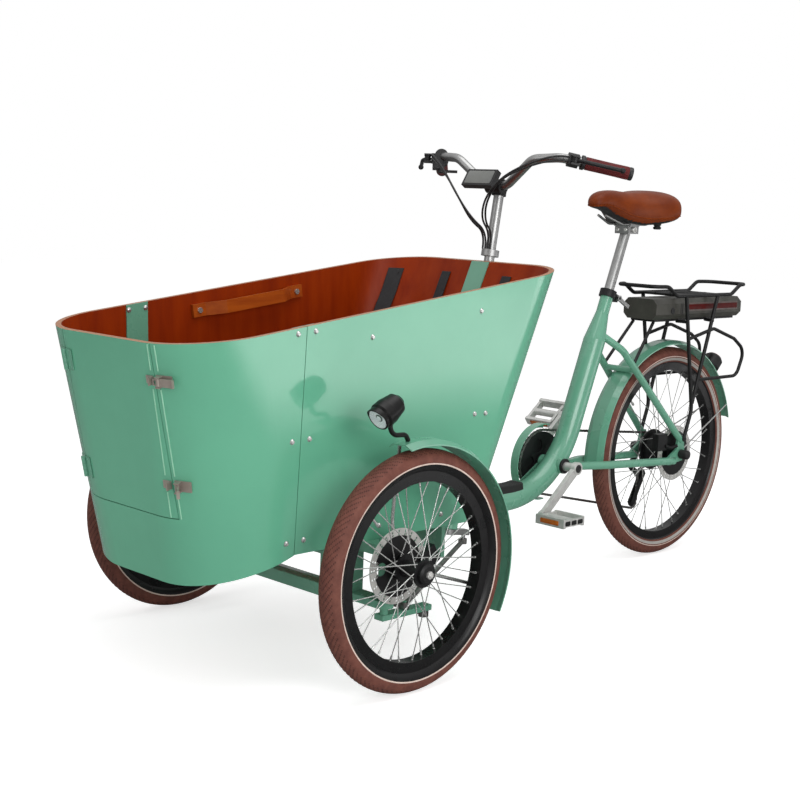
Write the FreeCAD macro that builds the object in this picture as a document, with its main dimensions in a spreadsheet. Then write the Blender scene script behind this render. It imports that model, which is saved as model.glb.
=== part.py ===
import FreeCAD, Part
import math
import operator
import os
from types import SimpleNamespace

import Sketcher

# Cargo tricycle: two steered front wheels beside a bent plywood box, one driven rear wheel.
# X points forward, Y to the rider's left, Z up, and the ground is z = 0. Millimetres and degrees.

SIZES = {
    # where the wheels stand
    "front_axle_x": 627.35,
    "wheel_base": 1426.0,
    "track_width": 805.0,
    "front_wheel_radius": 253.5,
    "rear_wheel_radius": 303.5,
    # tyres, rims and spokes
    "tyre_section": 50.0,
    "tyre_wall": 4.0,
    "rim_flange": 5.5,
    "rim_depth": 22.0,
    "rim_width": 30.0,
    "rim_wall": 3.0,
    "spoke_diameter": 2.3,
    "spoke_count": 36.0,
    "spoke_cross": 38.0,
    "spoke_gap": 0.3,
    # hubs and brake discs
    "axle_radius": 8.0,
    "running_clearance": 0.06,
    "hub_shell_radius": 18.0,
    "rear_shell_radius": 48.0,
    "hub_flange_rise": 11.0,
    "hub_flange_thick": 4.0,
    "hub_flange_spread": 54.0,
    "disc_flange_radius": 26.0,
    "disc_flange_thick": 5.0,
    "disc_offset": 48.0,
    "disc_radius": 80.0,
    "disc_thick": 2.0,
    "disc_window_radius": 14.0,
    "disc_window_circle": 47.0,
    "disc_hole_radius": 2.4,
    "disc_hole_circle": 67.5,
    "disc_hole_step": 6.5,
    "hub_cap_radius": 22.0,
    "hub_cap_length": 12.0,
    # kingpins, knuckles and steering arms
    "kingpin_inset": 84.5,
    "kingpin_radius": 9.0,
    "knuckle_radius": 15.0,
    "spindle_root_radius": 14.0,
    "beam_upper_z": 270.0,
    "beam_upper_thick": 22.0,
    "beam_lower_z": 158.0,
    "beam_lower_thick": 16.0,
    "beam_width": 40.0,
    "beam_gap": 2.0,
    "steer_arm_length": 120.0,
    "steer_arm_z": 132.0,
    "steer_arm_thick": 12.0,
    "steer_arm_width": 26.0,
    "stud_radius": 5.0,
    "link_radius": 7.0,
    "link_eye_radius": 11.0,
    "link_eye_height": 13.0,
    "link_gap": 2.0,
    "open_pivot_gap": 2.6,
    "caliper_angle": 150.0,
    # mudguards
    "fender_gap": 17.0,
    "fender_thick": 3.0,
    "fender_width": 64.0,
    "fender_crown": 8.0,
    "front_fender_start": 78.0,
    "front_fender_sweep": 129.0,
    "rear_fender_start": -2.0,
    "rear_fender_sweep": 168.0,
    "stay_radius": 4.0,
    # head lamp and tail lamp
    "lamp_radius": 27.5,
    "lamp_length": 64.0,
    "lamp_tilt": 30.0,
    "lamp_ahead": 60.0,
    "lamp_height": 611.0,
    "lamp_bracket_radius": 5.0,
    "tail_lamp_radius": 28.0,
    "tail_lamp_depth": 42.0,
    "tail_lamp_angle": 134.5,
    # plywood box, as plan outlines at two heights, x measured from the front axle
    "box_low_z": 235.0,
    "box_high_z": 860.0,
    "box_low_front": 390.0,
    "box_low_front_radius": 190.0,
    "box_low_rear": 340.0,
    "box_low_rear_radius": 70.0,
    "box_low_half": 270.0,
    "box_high_front": 513.0,
    "box_high_front_radius": 160.0,
    "box_high_rear": 622.0,
    "box_high_rear_radius": 140.0,
    "box_high_half": 298.0,
    "ply_thick": 12.0,
    "trim_reach": 2000.0,
    "panel_gap": 1.5,
    "rim_line_z": 778.5,
    "rim_line_tilt": 7.3,
    "skirt_z": 292.0,
    "apron_start": 210.0,
    "apron_angle": 21.0,
    "seam_ahead": 213.0,
    "strap_width": 56.0,
    "strap_thick": 3.0,
    "strap_foot_z": 320.0,
    # door in the front wall
    "door_half": 150.0,
    "door_sill_z": 367.0,
    "door_gap": 2.0,
    "hinge_upper_z": 655.0,
    "hinge_lower_z": 428.0,
    "hinge_height": 44.0,
    "hinge_pin_radius": 2.5,
    "hinge_knuckle_radius": 5.0,
    "hinge_leaf_width": 25.0,
    "hinge_leaf_thick": 2.5,
    "leaf_gap": 0.3,
    "latch_upper_z": 646.0,
    "latch_lower_z": 438.0,
    "latch_length": 36.0,
    "latch_width": 16.0,
    "latch_open_angle": 55.0,
    # floor, bench, handles, harness
    "floor_z": 306.0,
    "floor_thick": 12.0,
    "wall_clearance": 4.0,
    "bench_front": 158.0,
    "bench_top_z": 520.0,
    "handle_length": 295.0,
    "handle_bow": 26.0,
    "handle_height": 30.0,
    "handle_thick": 8.0,
    "handle_setback": 101.0,
    "handle_drop": 110.0,
    "harness_width": 28.0,
    "harness_thick": 3.5,
    "harness_inner": 100.0,
    "harness_outer": 244.0,
    "harness_drop": 32.0,
    "screw_radius": 6.0,
    "screw_rise": 3.5,
    # subframe under the box
    "rail_size": 30.0,
    "rail_spread": 380.0,
    "rail_front": 245.0,
    "rail_rear": 300.0,
    "cross_ahead": 175.0,
    "rear_beam_thick": 12.0,
    "rear_beam_depth": 110.0,
    "bumper_ahead": 92.0,
    "bumper_size": 26.0,
    "bumper_z": 187.0,
    "bumper_half": 250.0,
    "cheek_half": 225.0,
    "cheek_thick": 12.0,
    # main frame
    "main_tube_radius": 30.0,
    "main_tube_wall": 3.0,
    "main_tube_z": 240.0,
    "main_bend_radius": 265.0,
    "frame_corner_setback": 930.0,
    "seat_tilt": 21.0,
    "seat_tube_top_z": 775.0,
    "seat_tube_radius": 17.5,
    "seat_taper_low_z": 640.0,
    "seat_taper_high_z": 715.0,
    "flange_size": 84.0,
    "flange_thick": 8.0,
    "crank_setback": 934.0,
    "crank_z": 314.0,
    "bracket_radius": 21.0,
    "bracket_width": 73.0,
    "dropout_half": 66.0,
    "dropout_thick": 8.0,
    "rear_axle_radius": 7.0,
    "axle_nut_radius": 11.0,
    "axle_nut_length": 16.0,
    "chain_stay_radius": 11.0,
    "seat_stay_radius": 10.0,
    # crank, pedals and chain
    "crank_length": 170.0,
    "crank_angle": -40.0,
    "crank_axle_radius": 12.0,
    "crank_arm_half": 79.0,
    "crank_arm_thick": 14.0,
    "crank_boss_radius": 17.0,
    "pedal_boss_radius": 13.0,
    "pedal_pin_radius": 6.0,
    "pedal_width": 92.0,
    "pedal_length": 84.0,
    "pedal_height": 24.0,
    "pedal_gap": 4.0,
    "right_pedal_tilt": 38.0,
    "chain_line": 45.0,
    "chain_width": 6.0,
    "chain_half_height": 4.0,
    "chain_pitch_radius": 86.0,
    "chain_play": 0.6,
    "chainring_thick": 3.0,
    "cog_pitch_radius": 46.0,
    "cog_thick": 2.0,
    "cog_step": 5.0,
    "cog_rise": 7.0,
    "pulley_pitch_radius": 20.0,
    "guide_pulley_x": 20.0,
    "guide_pulley_drop": 76.0,
    "tension_pulley_x": 62.0,
    "tension_pulley_drop": 152.0,
    "guard_radius": 104.0,
    "guard_thick": 3.0,
    "guard_depth": 24.0,
    # seat
    "post_radius": 13.6,
    "post_low_z": 590.0,
    "post_top_z": 938.0,
    "saddle_length": 284.0,
    "saddle_width": 226.0,
    "saddle_nose_width": 62.0,
    "saddle_depth": 84.0,
    "saddle_top_z": 1046.0,
    "saddle_nose_setback": 1036.0,
    "saddle_rail_radius": 3.5,
    "collar_radius": 23.0,
    "collar_height": 20.0,
    "collar_clearance": 0.05,
    "clamp_lever_length": 52.0,
    # steering column and handlebar
    "column_setback": 530.0,
    "column_foot_z": 178.0,
    "column_tilt": 9.0,
    "column_radius": 12.7,
    "column_top_z": 1052.0,
    "head_tube_radius": 22.0,
    "head_tube_length": 235.0,
    "pitman_length": 60.0,
    "pitman_thick": 14.0,
    "cable_collar_radius": 22.0,
    "cable_collar_z": 869.0,
    "bar_radius": 11.1,
    "bar_rise": 68.0,
    "bar_forward": 15.0,
    "bar_half_width": 310.0,
    "bar_sweep_back": 130.0,
    "grip_radius": 16.0,
    "grip_length": 128.0,
    "grip_clearance": 0.05,
    "control_length": 26.0,
    "control_radius": 17.0,
    "lever_length": 112.0,
    "lever_radius": 5.0,
    "lever_stand_off": 50.0,
    "display_width": 96.0,
    "display_height": 46.0,
    "display_tilt": 57.0,
    "display_thick": 16.0,
    "cable_radius": 2.5,
    # rack and battery
    "rack_deck_z": 760.0,
    "rack_half": 75.0,
    "rack_tube_radius": 5.5,
    "rack_front": 1262.0,
    "rack_rear": 1722.0,
    "rack_loop_rise": 27.0,
    "rack_leg_front": 1400.0,
    "rack_leg_rear": 1560.0,
    "tray_z": 686.0,
    "tray_thick": 6.0,
    "tray_half": 40.0,
    "battery_front": 1285.0,
    "battery_length": 432.0,
    "battery_half": 56.0,
    "battery_height": 58.0,
    "battery_gap": 0.4,
    "battery_edge": 14.0,
}

doc = FreeCAD.newDocument("cargo_tricycle")
sheet = doc.addObject("Spreadsheet::Sheet", "Sizes")
for row, (alias, number) in enumerate(SIZES.items(), start=1):
    sheet.set(f"A{row}", alias)
    sheet.set(f"B{row}", str(number))
    sheet.setAlias(f"B{row}", alias)
doc.recompute()

SIGNS = {"+": operator.add, "-": operator.sub, "*": operator.mul, "/": operator.truediv}


class Measure:
    # a size that knows its number and how the sheet writes it
    def __init__(self, number, text):
        self.number = number
        self.text = text

    def __float__(self):
        return self.number

    def __add__(self, other):
        return merged(self, "+", other)

    def __radd__(self, other):
        return merged(other, "+", self)

    def __sub__(self, other):
        return merged(self, "-", other)

    def __rsub__(self, other):
        return merged(other, "-", self)

    def __mul__(self, other):
        return merged(self, "*", other)

    def __rmul__(self, other):
        return merged(other, "*", self)

    def __truediv__(self, other):
        return merged(self, "/", other)

    def __neg__(self):
        return merged(0, "-", self)


def measure(thing):
    if isinstance(thing, Measure):
        return thing
    return Measure(float(thing), f"({float(thing)})")


def merged(left, sign, right):
    left = measure(left)
    right = measure(right)
    number = SIGNS[sign](left.number, right.number)
    return Measure(number, f"({left.text} {sign} {right.text})")


def sine(angle):
    return Measure(math.sin(math.radians(float(angle))), f"sin({measure(angle).text})")


def cosine(angle):
    return Measure(math.cos(math.radians(float(angle))), f"cos({measure(angle).text})")


s = SimpleNamespace(**{alias: Measure(float(sheet.get(alias)), f"Sizes.{alias}") for alias in SIZES})
s.kingpin_half_spread = s.track_width / 2 - s.kingpin_inset
s.handle_z = s.box_high_z - s.handle_drop
s.harness_top_z = s.box_high_z - s.harness_drop

nodes = {}
SIDES = (("left", 1), ("right", -1))
AXIS_X = FreeCAD.Vector(1, 0, 0)
AXIS_Y = FreeCAD.Vector(0, 1, 0)
AXIS_Z = FreeCAD.Vector(0, 0, 1)
NO_TURN = FreeCAD.Rotation()
TO_LEFT = FreeCAD.Rotation(AXIS_X, -90)
TO_RIGHT = FreeCAD.Rotation(AXIS_X, 90)
TO_FRONT = FreeCAD.Rotation(AXIS_Y, 90)


def vec(x, y, z):
    return FreeCAD.Vector(float(x), float(y), float(z))


def unit(vector):
    return vector * (1.0 / vector.Length)


def named(thing, label):
    thing.Label = label
    nodes[label] = thing
    return thing


def bind(thing, place, value):
    if isinstance(value, Measure):
        thing.setExpression(place, value.text)
    else:
        thing.setExpression(place, str(float(value)))


def put(thing, at, turn):
    thing.Placement = FreeCAD.Placement(vec(*at), turn)
    for letter, value in zip("xyz", at):
        bind(thing, f"Placement.Base.{letter}", value)


def solid(kind, name, at, turn=NO_TURN, **sizes):
    thing = doc.addObject(f"Part::{kind}", name)
    for place, value in sizes.items():
        bind(thing, place, value)
    put(thing, at, turn)
    return thing


def block(name, low, spans, turn=NO_TURN):
    return solid("Box", name, low, turn, Length=spans[0], Width=spans[1], Height=spans[2])


def rod(name, at, radius, length, turn=NO_TURN):
    return solid("Cylinder", name, at, turn, Radius=radius, Height=length)


def joined(name, *things):
    thing = doc.addObject("Part::MultiFuse", name)
    thing.Shapes = list(things)
    thing.Refine = True
    return thing


def cut(name, base, tool):
    thing = doc.addObject("Part::Cut", name)
    thing.Base = base
    thing.Tool = tool
    return thing


def common(name, base, tool):
    thing = doc.addObject("Part::Common", name)
    thing.Base = base
    thing.Tool = tool
    return thing


def group(name, *things):
    thing = doc.addObject("Part::Compound", name)
    thing.Links = list(things)
    return thing


def feature(name, shape):
    thing = doc.addObject("Part::Feature", name)
    thing.Shape = shape
    return thing


def body_sketch(body, role, name):
    plane = next(item for item in body.Origin.OriginFeatures if item.Role == role)
    sketch = body.newObject("Sketcher::SketchObject", name)
    sketch.AttachmentSupport = (plane, [""])
    sketch.MapMode = "FlatFace"
    return sketch


def polygon(sketch, outline):
    # straight sides through the corners; each corner is held by its two distances from the origin
    corners = [vec(across, along, 0) for across, along in outline]
    count = len(corners)
    for index in range(count):
        sketch.addGeometry(Part.LineSegment(corners[index], corners[(index + 1) % count]), False)
    for index in range(count):
        sketch.addConstraint(Sketcher.Constraint("Coincident", index, 2, (index + 1) % count, 1))
    for index, corner in enumerate(outline):
        for kind, axis, value in (("DistanceX", -2, corner[0]), ("DistanceY", -1, corner[1])):
            if float(value) == 0.0:
                sketch.addConstraint(Sketcher.Constraint("PointOnObject", index, 1, axis))
                continue
            held = sketch.addConstraint(Sketcher.Constraint(kind, -1, 1, index, 1, float(value)))
            bind(sketch, f"Constraints[{held}]", value)


def turned(name, outline, at, turn, sweep=360.0):
    # a lathe profile of (radius, height) corners swept about the body's own Z axis
    body = doc.addObject("PartDesign::Body", name)
    sketch = body_sketch(body, "XZ_Plane", f"{name}_profile")
    polygon(sketch, outline)
    revolution = body.newObject("PartDesign::Revolution", f"{name}_turn")
    revolution.Profile = sketch
    revolution.ReferenceAxis = (sketch, ["V_Axis"])
    bind(revolution, "Angle", sweep)
    put(body, at, turn)
    return body


def padded(name, outline, thick, at, turn):
    # a flat outline of (x, y) corners raised along the body's own Z axis
    body = doc.addObject("PartDesign::Body", name)
    sketch = body_sketch(body, "XY_Plane", f"{name}_outline")
    polygon(sketch, outline)
    pad = body.newObject("PartDesign::Pad", f"{name}_pad")
    pad.Profile = sketch
    bind(pad, "Length", thick)
    put(body, at, turn)
    return body


def rounded_path(points, bend):
    # straight runs joined by tangent arcs, none taking more than 0.45 of a run
    edges = []
    start = points[0]
    for before, corner, after in zip(points, points[1:], points[2:]):
        back = unit(before - corner)
        ahead = unit(after - corner)
        turn = math.pi - back.getAngle(ahead)
        shorter = min((before - corner).Length, (after - corner).Length)
        radius = 0.45 * shorter / math.tan(turn / 2)
        if bend:
            radius = min(radius, bend)
        reach = radius * math.tan(turn / 2)
        middle = corner + unit(back + ahead) * (radius / math.cos(turn / 2) - radius)
        edges.append(Part.LineSegment(start, corner + back * reach).toShape())
        edges.append(Part.Arc(corner + back * reach, middle, corner + ahead * reach).toShape())
        start = corner + ahead * reach
    edges.append(Part.LineSegment(start, points[-1]).toShape())
    return Part.Wire(edges)


def tube(points, radius, bend=None):
    path = rounded_path(points, float(bend) if bend else None)
    ring = Part.Wire(Part.Circle(points[0], points[1] - points[0], float(radius)).toShape())
    return path.makePipeShell([ring], True, False)


def straight(start, end, radius):
    return Part.makeCylinder(float(radius), (end - start).Length, start, end - start)


def fused(shapes):
    return shapes[0].multiFuse(shapes[1:]).removeSplitter()


def plate_xz(points, y_low, y_high):
    # a plate whose outline is given in X and Z
    corners = [vec(x, y_low, z) for x, z in points]
    face = Part.Face(Part.makePolygon(corners + corners[:1]))
    return face.extrude(vec(0, y_high - y_low, 0))


# wheels


def spoke_set(centre, rim_radius, flange_radius):
    count = int(float(s.spoke_count))
    start_radius = float(flange_radius + s.spoke_diameter / 2 + s.spoke_gap)
    end_radius = float(rim_radius - s.spoke_gap)
    flange_y = float(s.hub_flange_spread) / 2
    rim_y = float(s.rim_width) / 10
    spokes = []
    for index in range(count):
        side = 1 if index % 2 else -1
        lean = 1 if (index // 2) % 2 else -1
        end_angle = 2 * math.pi * index / count
        start_angle = end_angle - lean * math.radians(float(s.spoke_cross))
        start = vec(start_radius * math.cos(start_angle), side * flange_y,
                    start_radius * math.sin(start_angle))
        end = vec(end_radius * math.cos(end_angle), side * rim_y, end_radius * math.sin(end_angle))
        spokes.append(straight(centre + start, centre + end, s.spoke_diameter / 2))
    return Part.makeCompound(spokes)


def brake_disc(name, at, turn):
    body = doc.addObject("PartDesign::Body", name)
    sketch = body_sketch(body, "XY_Plane", f"{name}_outline")
    centre = FreeCAD.Vector()
    for index, radius in enumerate((s.disc_radius, s.hub_shell_radius + 2)):
        sketch.addGeometry(Part.Circle(centre, AXIS_Z, float(radius)), False)
        sketch.addConstraint(Sketcher.Constraint("Coincident", index, 3, -1, 1))
        held = sketch.addConstraint(Sketcher.Constraint("Radius", index, float(radius)))
        bind(sketch, f"Constraints[{held}]", radius)
    pad = body.newObject("PartDesign::Pad", f"{name}_pad")
    pad.Profile = sketch
    bind(pad, "Length", s.disc_thick)
    window = body_sketch(body, "XY_Plane", f"{name}_window")
    window.addGeometry(Part.Circle(vec(s.disc_window_circle, 0, 0), AXIS_Z, float(s.disc_window_radius)),
                       False)
    window.addConstraint(Sketcher.Constraint("PointOnObject", 0, 3, -1))
    held = window.addConstraint(Sketcher.Constraint("DistanceX", -1, 1, 0, 3, float(s.disc_window_circle)))
    bind(window, f"Constraints[{held}]", s.disc_window_circle)
    held = window.addConstraint(Sketcher.Constraint("Radius", 0, float(s.disc_window_radius)))
    bind(window, f"Constraints[{held}]", s.disc_window_radius)
    pocket = body.newObject("PartDesign::Pocket", f"{name}_pocket")
    pocket.Profile = window
    pocket.Type = "ThroughAll"
    pocket.Reversed = True
    pattern = body.newObject("PartDesign::PolarPattern", f"{name}_pattern")
    pattern.Originals = [pocket]
    pattern.Axis = (window, ["N_Axis"])
    pattern.Angle = 360
    pattern.Occurrences = 6
    holes = body_sketch(body, "XY_Plane", f"{name}_holes")
    for index in range(2):
        along = s.disc_hole_circle + index * s.disc_hole_step
        holes.addGeometry(Part.Circle(vec(along, 0, 0), AXIS_Z, float(s.disc_hole_radius)), False)
        holes.addConstraint(Sketcher.Constraint("PointOnObject", index, 3, -1))
        held = holes.addConstraint(Sketcher.Constraint("DistanceX", -1, 1, index, 3, float(along)))
        bind(holes, f"Constraints[{held}]", along)
        held = holes.addConstraint(Sketcher.Constraint("Radius", index, float(s.disc_hole_radius)))
        bind(holes, f"Constraints[{held}]", s.disc_hole_radius)
    drill = body.newObject("PartDesign::Pocket", f"{name}_drill")
    drill.Profile = holes
    drill.Type = "ThroughAll"
    drill.Reversed = True
    ring = body.newObject("PartDesign::PolarPattern", f"{name}_ring")
    ring.Originals = [drill]
    ring.Axis = (holes, ["N_Axis"])
    ring.Angle = 360
    ring.Occurrences = 24
    body.Tip = ring
    put(body, at, turn)
    return body


def wheel(prefix, centre, radius, shell_radius, axle_radius, outward, blind):
    x, y, z = centre
    rim_radius = radius - s.tyre_section + s.rim_flange
    rim_inner = rim_radius - s.rim_depth
    across = s.tyre_section + 10
    ring = solid("Torus", f"{prefix}_carcass", centre, TO_LEFT,
                 Radius1=radius - s.tyre_section / 2, Radius2=s.tyre_section / 2)
    air = solid("Torus", f"{prefix}_air", centre, TO_LEFT,
                Radius1=radius - s.tyre_section / 2, Radius2=s.tyre_section / 2 - s.tyre_wall)
    seat = rod(f"{prefix}_bead_seat", (x, y - across / 2, z), rim_radius, across, TO_LEFT)
    hollow = joined(f"{prefix}_hollow", air, seat)
    named(cut(f"{prefix}_tyre", ring, hollow), f"{prefix}_tyre")

    width = s.rim_width
    blank = rod(f"{prefix}_rim_blank", (x, y - width / 2, z), rim_radius, width, TO_LEFT)
    bore = rod(f"{prefix}_rim_bore", (x, y - width / 2 - 1, z), rim_inner, width + 2, TO_LEFT)
    well_width = width - 2 * s.rim_wall
    well = rod(f"{prefix}_well", (x, y - well_width / 2, z), rim_radius + 1, well_width, TO_LEFT)
    bed = rod(f"{prefix}_bed", (x, y - well_width / 2, z), rim_inner + s.rim_wall, well_width, TO_LEFT)
    channel = cut(f"{prefix}_channel", well, bed)
    named(cut(f"{prefix}_rim", cut(f"{prefix}_rim_ring", blank, bore), channel), f"{prefix}_rim")

    flange_radius = shell_radius + s.hub_flange_rise
    named(feature(f"{prefix}_spokes", spoke_set(vec(*centre), rim_inner, flange_radius)),
          f"{prefix}_spokes")

    # heights count from the face that the disc is bolted to
    hole = axle_radius + s.running_clearance
    first = s.disc_offset - s.hub_flange_spread / 2 - s.hub_flange_thick / 2
    second = first + s.hub_flange_spread
    far = second + s.hub_flange_thick
    outline = [
        (hole, 0), (s.disc_flange_radius, 0), (s.disc_flange_radius, s.disc_flange_thick),
        (s.hub_shell_radius, s.disc_flange_thick), (s.hub_shell_radius, first), (flange_radius, first),
        (flange_radius, first + s.hub_flange_thick), (shell_radius, first + s.hub_flange_thick),
        (shell_radius, second), (flange_radius, second), (flange_radius, far),
    ]
    if blind:
        tip = far + s.hub_cap_length
        outline += [
            (s.hub_cap_radius, far), (s.hub_cap_radius, tip - 4), (s.hub_cap_radius - 5, tip),
            (0, tip), (0, tip - 5), (hole, tip - 5),
        ]
    else:
        outline += [(hole, far)]
    turn = TO_LEFT if outward > 0 else TO_RIGHT
    hub = turned(f"{prefix}_hub_shell", outline, (x, y - outward * s.disc_offset, z), turn)
    disc_at = (x, y - outward * (s.disc_offset + s.disc_thick), z)
    disc = brake_disc(f"{prefix}_disc", disc_at, turn)
    named(group(f"{prefix}_disc_hub", hub, disc), f"{prefix}_disc_hub")


front_x = s.front_axle_x
rear_x = s.front_axle_x - s.wheel_base
front_z = s.front_wheel_radius
rear_z = s.rear_wheel_radius
for side, sign in SIDES:
    wheel(side, (front_x, sign * s.track_width / 2, front_z), s.front_wheel_radius,
          s.hub_shell_radius, s.axle_radius, sign, True)
wheel("rear", (rear_x, measure(0), rear_z), s.rear_wheel_radius,
      s.rear_shell_radius, s.rear_axle_radius, -1, False)

# steering knuckles, each with its kingpin, spindle, arm and brake lug


def knuckle(side, sign):
    x = front_x
    y = sign * s.kingpin_half_spread
    arm_top = s.steer_arm_z + s.steer_arm_thick
    beam_top = s.beam_upper_z + s.beam_upper_thick
    pin_top = beam_top + s.beam_gap + 8
    sleeve_low = s.beam_lower_z + s.beam_lower_thick + s.beam_gap
    sleeve_high = s.beam_upper_z - s.beam_gap
    outward = TO_LEFT if sign > 0 else TO_RIGHT
    disc_inner = s.track_width / 2 - s.disc_offset - s.disc_thick
    root_length = disc_inner - s.link_gap - s.kingpin_half_spread
    hub_depth = s.disc_offset + s.hub_flange_spread / 2 + s.hub_flange_thick / 2 + s.hub_cap_length - 6
    spindle_length = disc_inner + s.disc_thick + hub_depth - s.kingpin_half_spread
    pin = rod(f"{side}_kingpin", (x, y, s.steer_arm_z), s.kingpin_radius, pin_top - s.steer_arm_z)
    cap = rod(f"{side}_king_cap", (x, y, beam_top + s.beam_gap), s.knuckle_radius, 8)
    sleeve = rod(f"{side}_sleeve", (x, y, sleeve_low), s.knuckle_radius, sleeve_high - sleeve_low)
    root = rod(f"{side}_spindle_root", (x, y, front_z), s.spindle_root_radius, root_length, outward)
    spindle = rod(f"{side}_spindle", (x, y, front_z), s.axle_radius, spindle_length, outward)
    arm = block(f"{side}_arm",
                (x - s.steer_arm_length - s.link_eye_radius, y - s.steer_arm_width / 2, s.steer_arm_z),
                (s.steer_arm_length + s.link_eye_radius + s.knuckle_radius, s.steer_arm_width,
                 s.steer_arm_thick))
    stud_drop = s.link_gap + s.link_eye_height + s.link_gap
    stud = rod(f"{side}_tie_stud", (x - s.steer_arm_length, y, s.steer_arm_z - stud_drop), s.stud_radius,
               stud_drop)
    lug_turn = FreeCAD.Rotation(AXIS_Y, -float(s.caliper_angle))
    lug_y = y + sign * (root_length - 9.4)
    lug = block(f"{side}_lug", (x - 12 * sine(s.caliper_angle), lug_y - 3,
                                front_z + 12 * cosine(s.caliper_angle)),
                (s.disc_radius + 16, 6, 24), lug_turn)
    parts = [pin, cap, sleeve, root, spindle, arm, stud, lug]
    if sign > 0:
        parts.append(rod("drag_stud", (x - s.pitman_length, y, arm_top), s.stud_radius, stud_drop))
    named(joined(f"{side}_knuckle", *parts), f"{side}_knuckle")

    # caliper: two halves straddling the disc, bridged outside its edge
    disc_y = sign * (disc_inner + s.disc_thick / 2)
    along = FreeCAD.Rotation(AXIS_Y, -float(s.caliper_angle))
    reach = s.disc_radius - 24
    caliper_base = (x + reach * cosine(s.caliper_angle) - 20 * sine(s.caliper_angle),
                    front_z + reach * sine(s.caliper_angle) + 20 * cosine(s.caliper_angle))
    shell = block(f"{side}_caliper_shell", (caliper_base[0], disc_y - 9, caliper_base[1]), (46, 18, 40),
                  along)
    slot = rod(f"{side}_caliper_slot", (x, disc_y - 2.5, front_z), s.disc_radius + 3, 5, TO_LEFT)
    named(cut(f"{side}_caliper", shell, slot), f"{side}_caliper")


for side, sign in SIDES:
    knuckle(side, sign)

# mudguards: a crowned strip swept round the wheel


def mudguard(name, centre, radius, start, sweep):
    x, y, z = centre
    inner = radius + s.fender_gap
    thick = s.fender_thick
    width = s.fender_width
    flank = width / 4
    outline = [
        (inner - s.fender_crown, 0), (inner, flank), (inner, width - flank),
        (inner - s.fender_crown, width),
        (inner - s.fender_crown + thick, width), (inner + thick, width - flank),
        (inner + thick, flank), (inner - s.fender_crown + thick, 0),
    ]
    turn = FreeCAD.Rotation(AXIS_Y, -float(start)).multiply(TO_RIGHT)
    return turned(name, outline, (x, y + width / 2, z), turn, sweep)


def fender_point(centre, radius, angle, y, sink):
    # a place on the mudguard's edge, sink below its inner face
    at = math.radians(float(angle))
    reach = float(radius + s.fender_gap - s.fender_crown) - sink
    return vec(float(centre[0]) + reach * math.cos(at), y, float(centre[2]) + reach * math.sin(at))


for side, sign in SIDES:
    centre = (front_x, sign * s.track_width / 2, front_z)
    guard = mudguard(f"{side}_guard_strip", centre, s.front_wheel_radius, s.front_fender_start,
                     s.front_fender_sweep)
    edge_y = float(sign * (s.track_width / 2 - s.fender_width / 2 + 3))
    root_y = float(sign * (s.track_width / 2 - s.disc_offset - s.disc_thick - s.stay_radius - 5.5))
    past_disc = float(s.disc_radius) + 22
    stays = []
    for angle in (84.0, 198.0):
        at = math.radians(angle)
        low = vec(float(front_x) + 10 * math.cos(at), root_y, float(front_z) + 10 * math.sin(at))
        bend_at = vec(float(front_x) + past_disc * math.cos(at), root_y,
                      float(front_z) + past_disc * math.sin(at))
        top = fender_point(centre, s.front_wheel_radius, angle, edge_y, -float(s.fender_thick) / 2)
        stays.append(tube([low, bend_at, top], s.stay_radius, 60))
    held = feature(f"{side}_stays", Part.makeCompound(stays))
    clear = joined(f"{side}_stay_cut", nodes[f"{side}_knuckle"], nodes[f"{side}_caliper"], guard)
    trimmed = cut(f"{side}_stays_trimmed", held, clear)
    named(group(f"{side}_fender", guard, trimmed), f"{side}_fender")

# head lamp on the left mudguard

lamp_y = s.track_width / 2
lamp_outline = [
    (0, 0), (s.lamp_radius * 0.45, 3), (s.lamp_radius * 0.8, s.lamp_length * 0.2),
    (s.lamp_radius, s.lamp_length * 0.65),
    (s.lamp_radius, s.lamp_length - 6), (s.lamp_radius - 5, s.lamp_length), (0, s.lamp_length),
]
lamp_turn = FreeCAD.Rotation(AXIS_Y, float(s.lamp_tilt)).multiply(TO_FRONT)
lamp_shell = turned("lamp_shell", lamp_outline, (front_x + s.lamp_ahead, lamp_y, s.lamp_height), lamp_turn)
lamp_mid = float(front_x + s.lamp_ahead + s.lamp_length / 2 * cosine(s.lamp_tilt))
lamp_mid_z = float(s.lamp_height - s.lamp_length / 2 * sine(s.lamp_tilt))
guard_outer = float(s.front_wheel_radius + s.fender_gap + s.fender_thick)
foot_x = float(front_x) + guard_outer * math.cos(math.radians(83))
foot_z = float(front_z) + guard_outer * math.sin(math.radians(83))
bracket_path = [
    vec(foot_x, lamp_y, foot_z + 1), vec(foot_x + 8, lamp_y, foot_z + 14),
    vec(lamp_mid - 4, lamp_y, foot_z + 16), vec(lamp_mid, lamp_y, lamp_mid_z),
]
lamp_bracket = feature("lamp_bracket", tube(bracket_path, s.lamp_bracket_radius))
lamp_whole = joined("lamp_whole", lamp_shell, lamp_bracket)
named(cut("headlamp", lamp_whole, nodes["left_fender"]), "headlamp")

# plywood box: a ruled shell between two plan outlines


def plan_at(z):
    share = (float(z) - float(s.box_low_z)) / float(s.box_high_z - s.box_low_z)
    names = ("front", "front_radius", "rear", "rear_radius", "half")
    values = {}
    for name in names:
        low = float(getattr(s, f"box_low_{name}"))
        high = float(getattr(s, f"box_high_{name}"))
        values[name] = low + (high - low) * share
    return values


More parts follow.
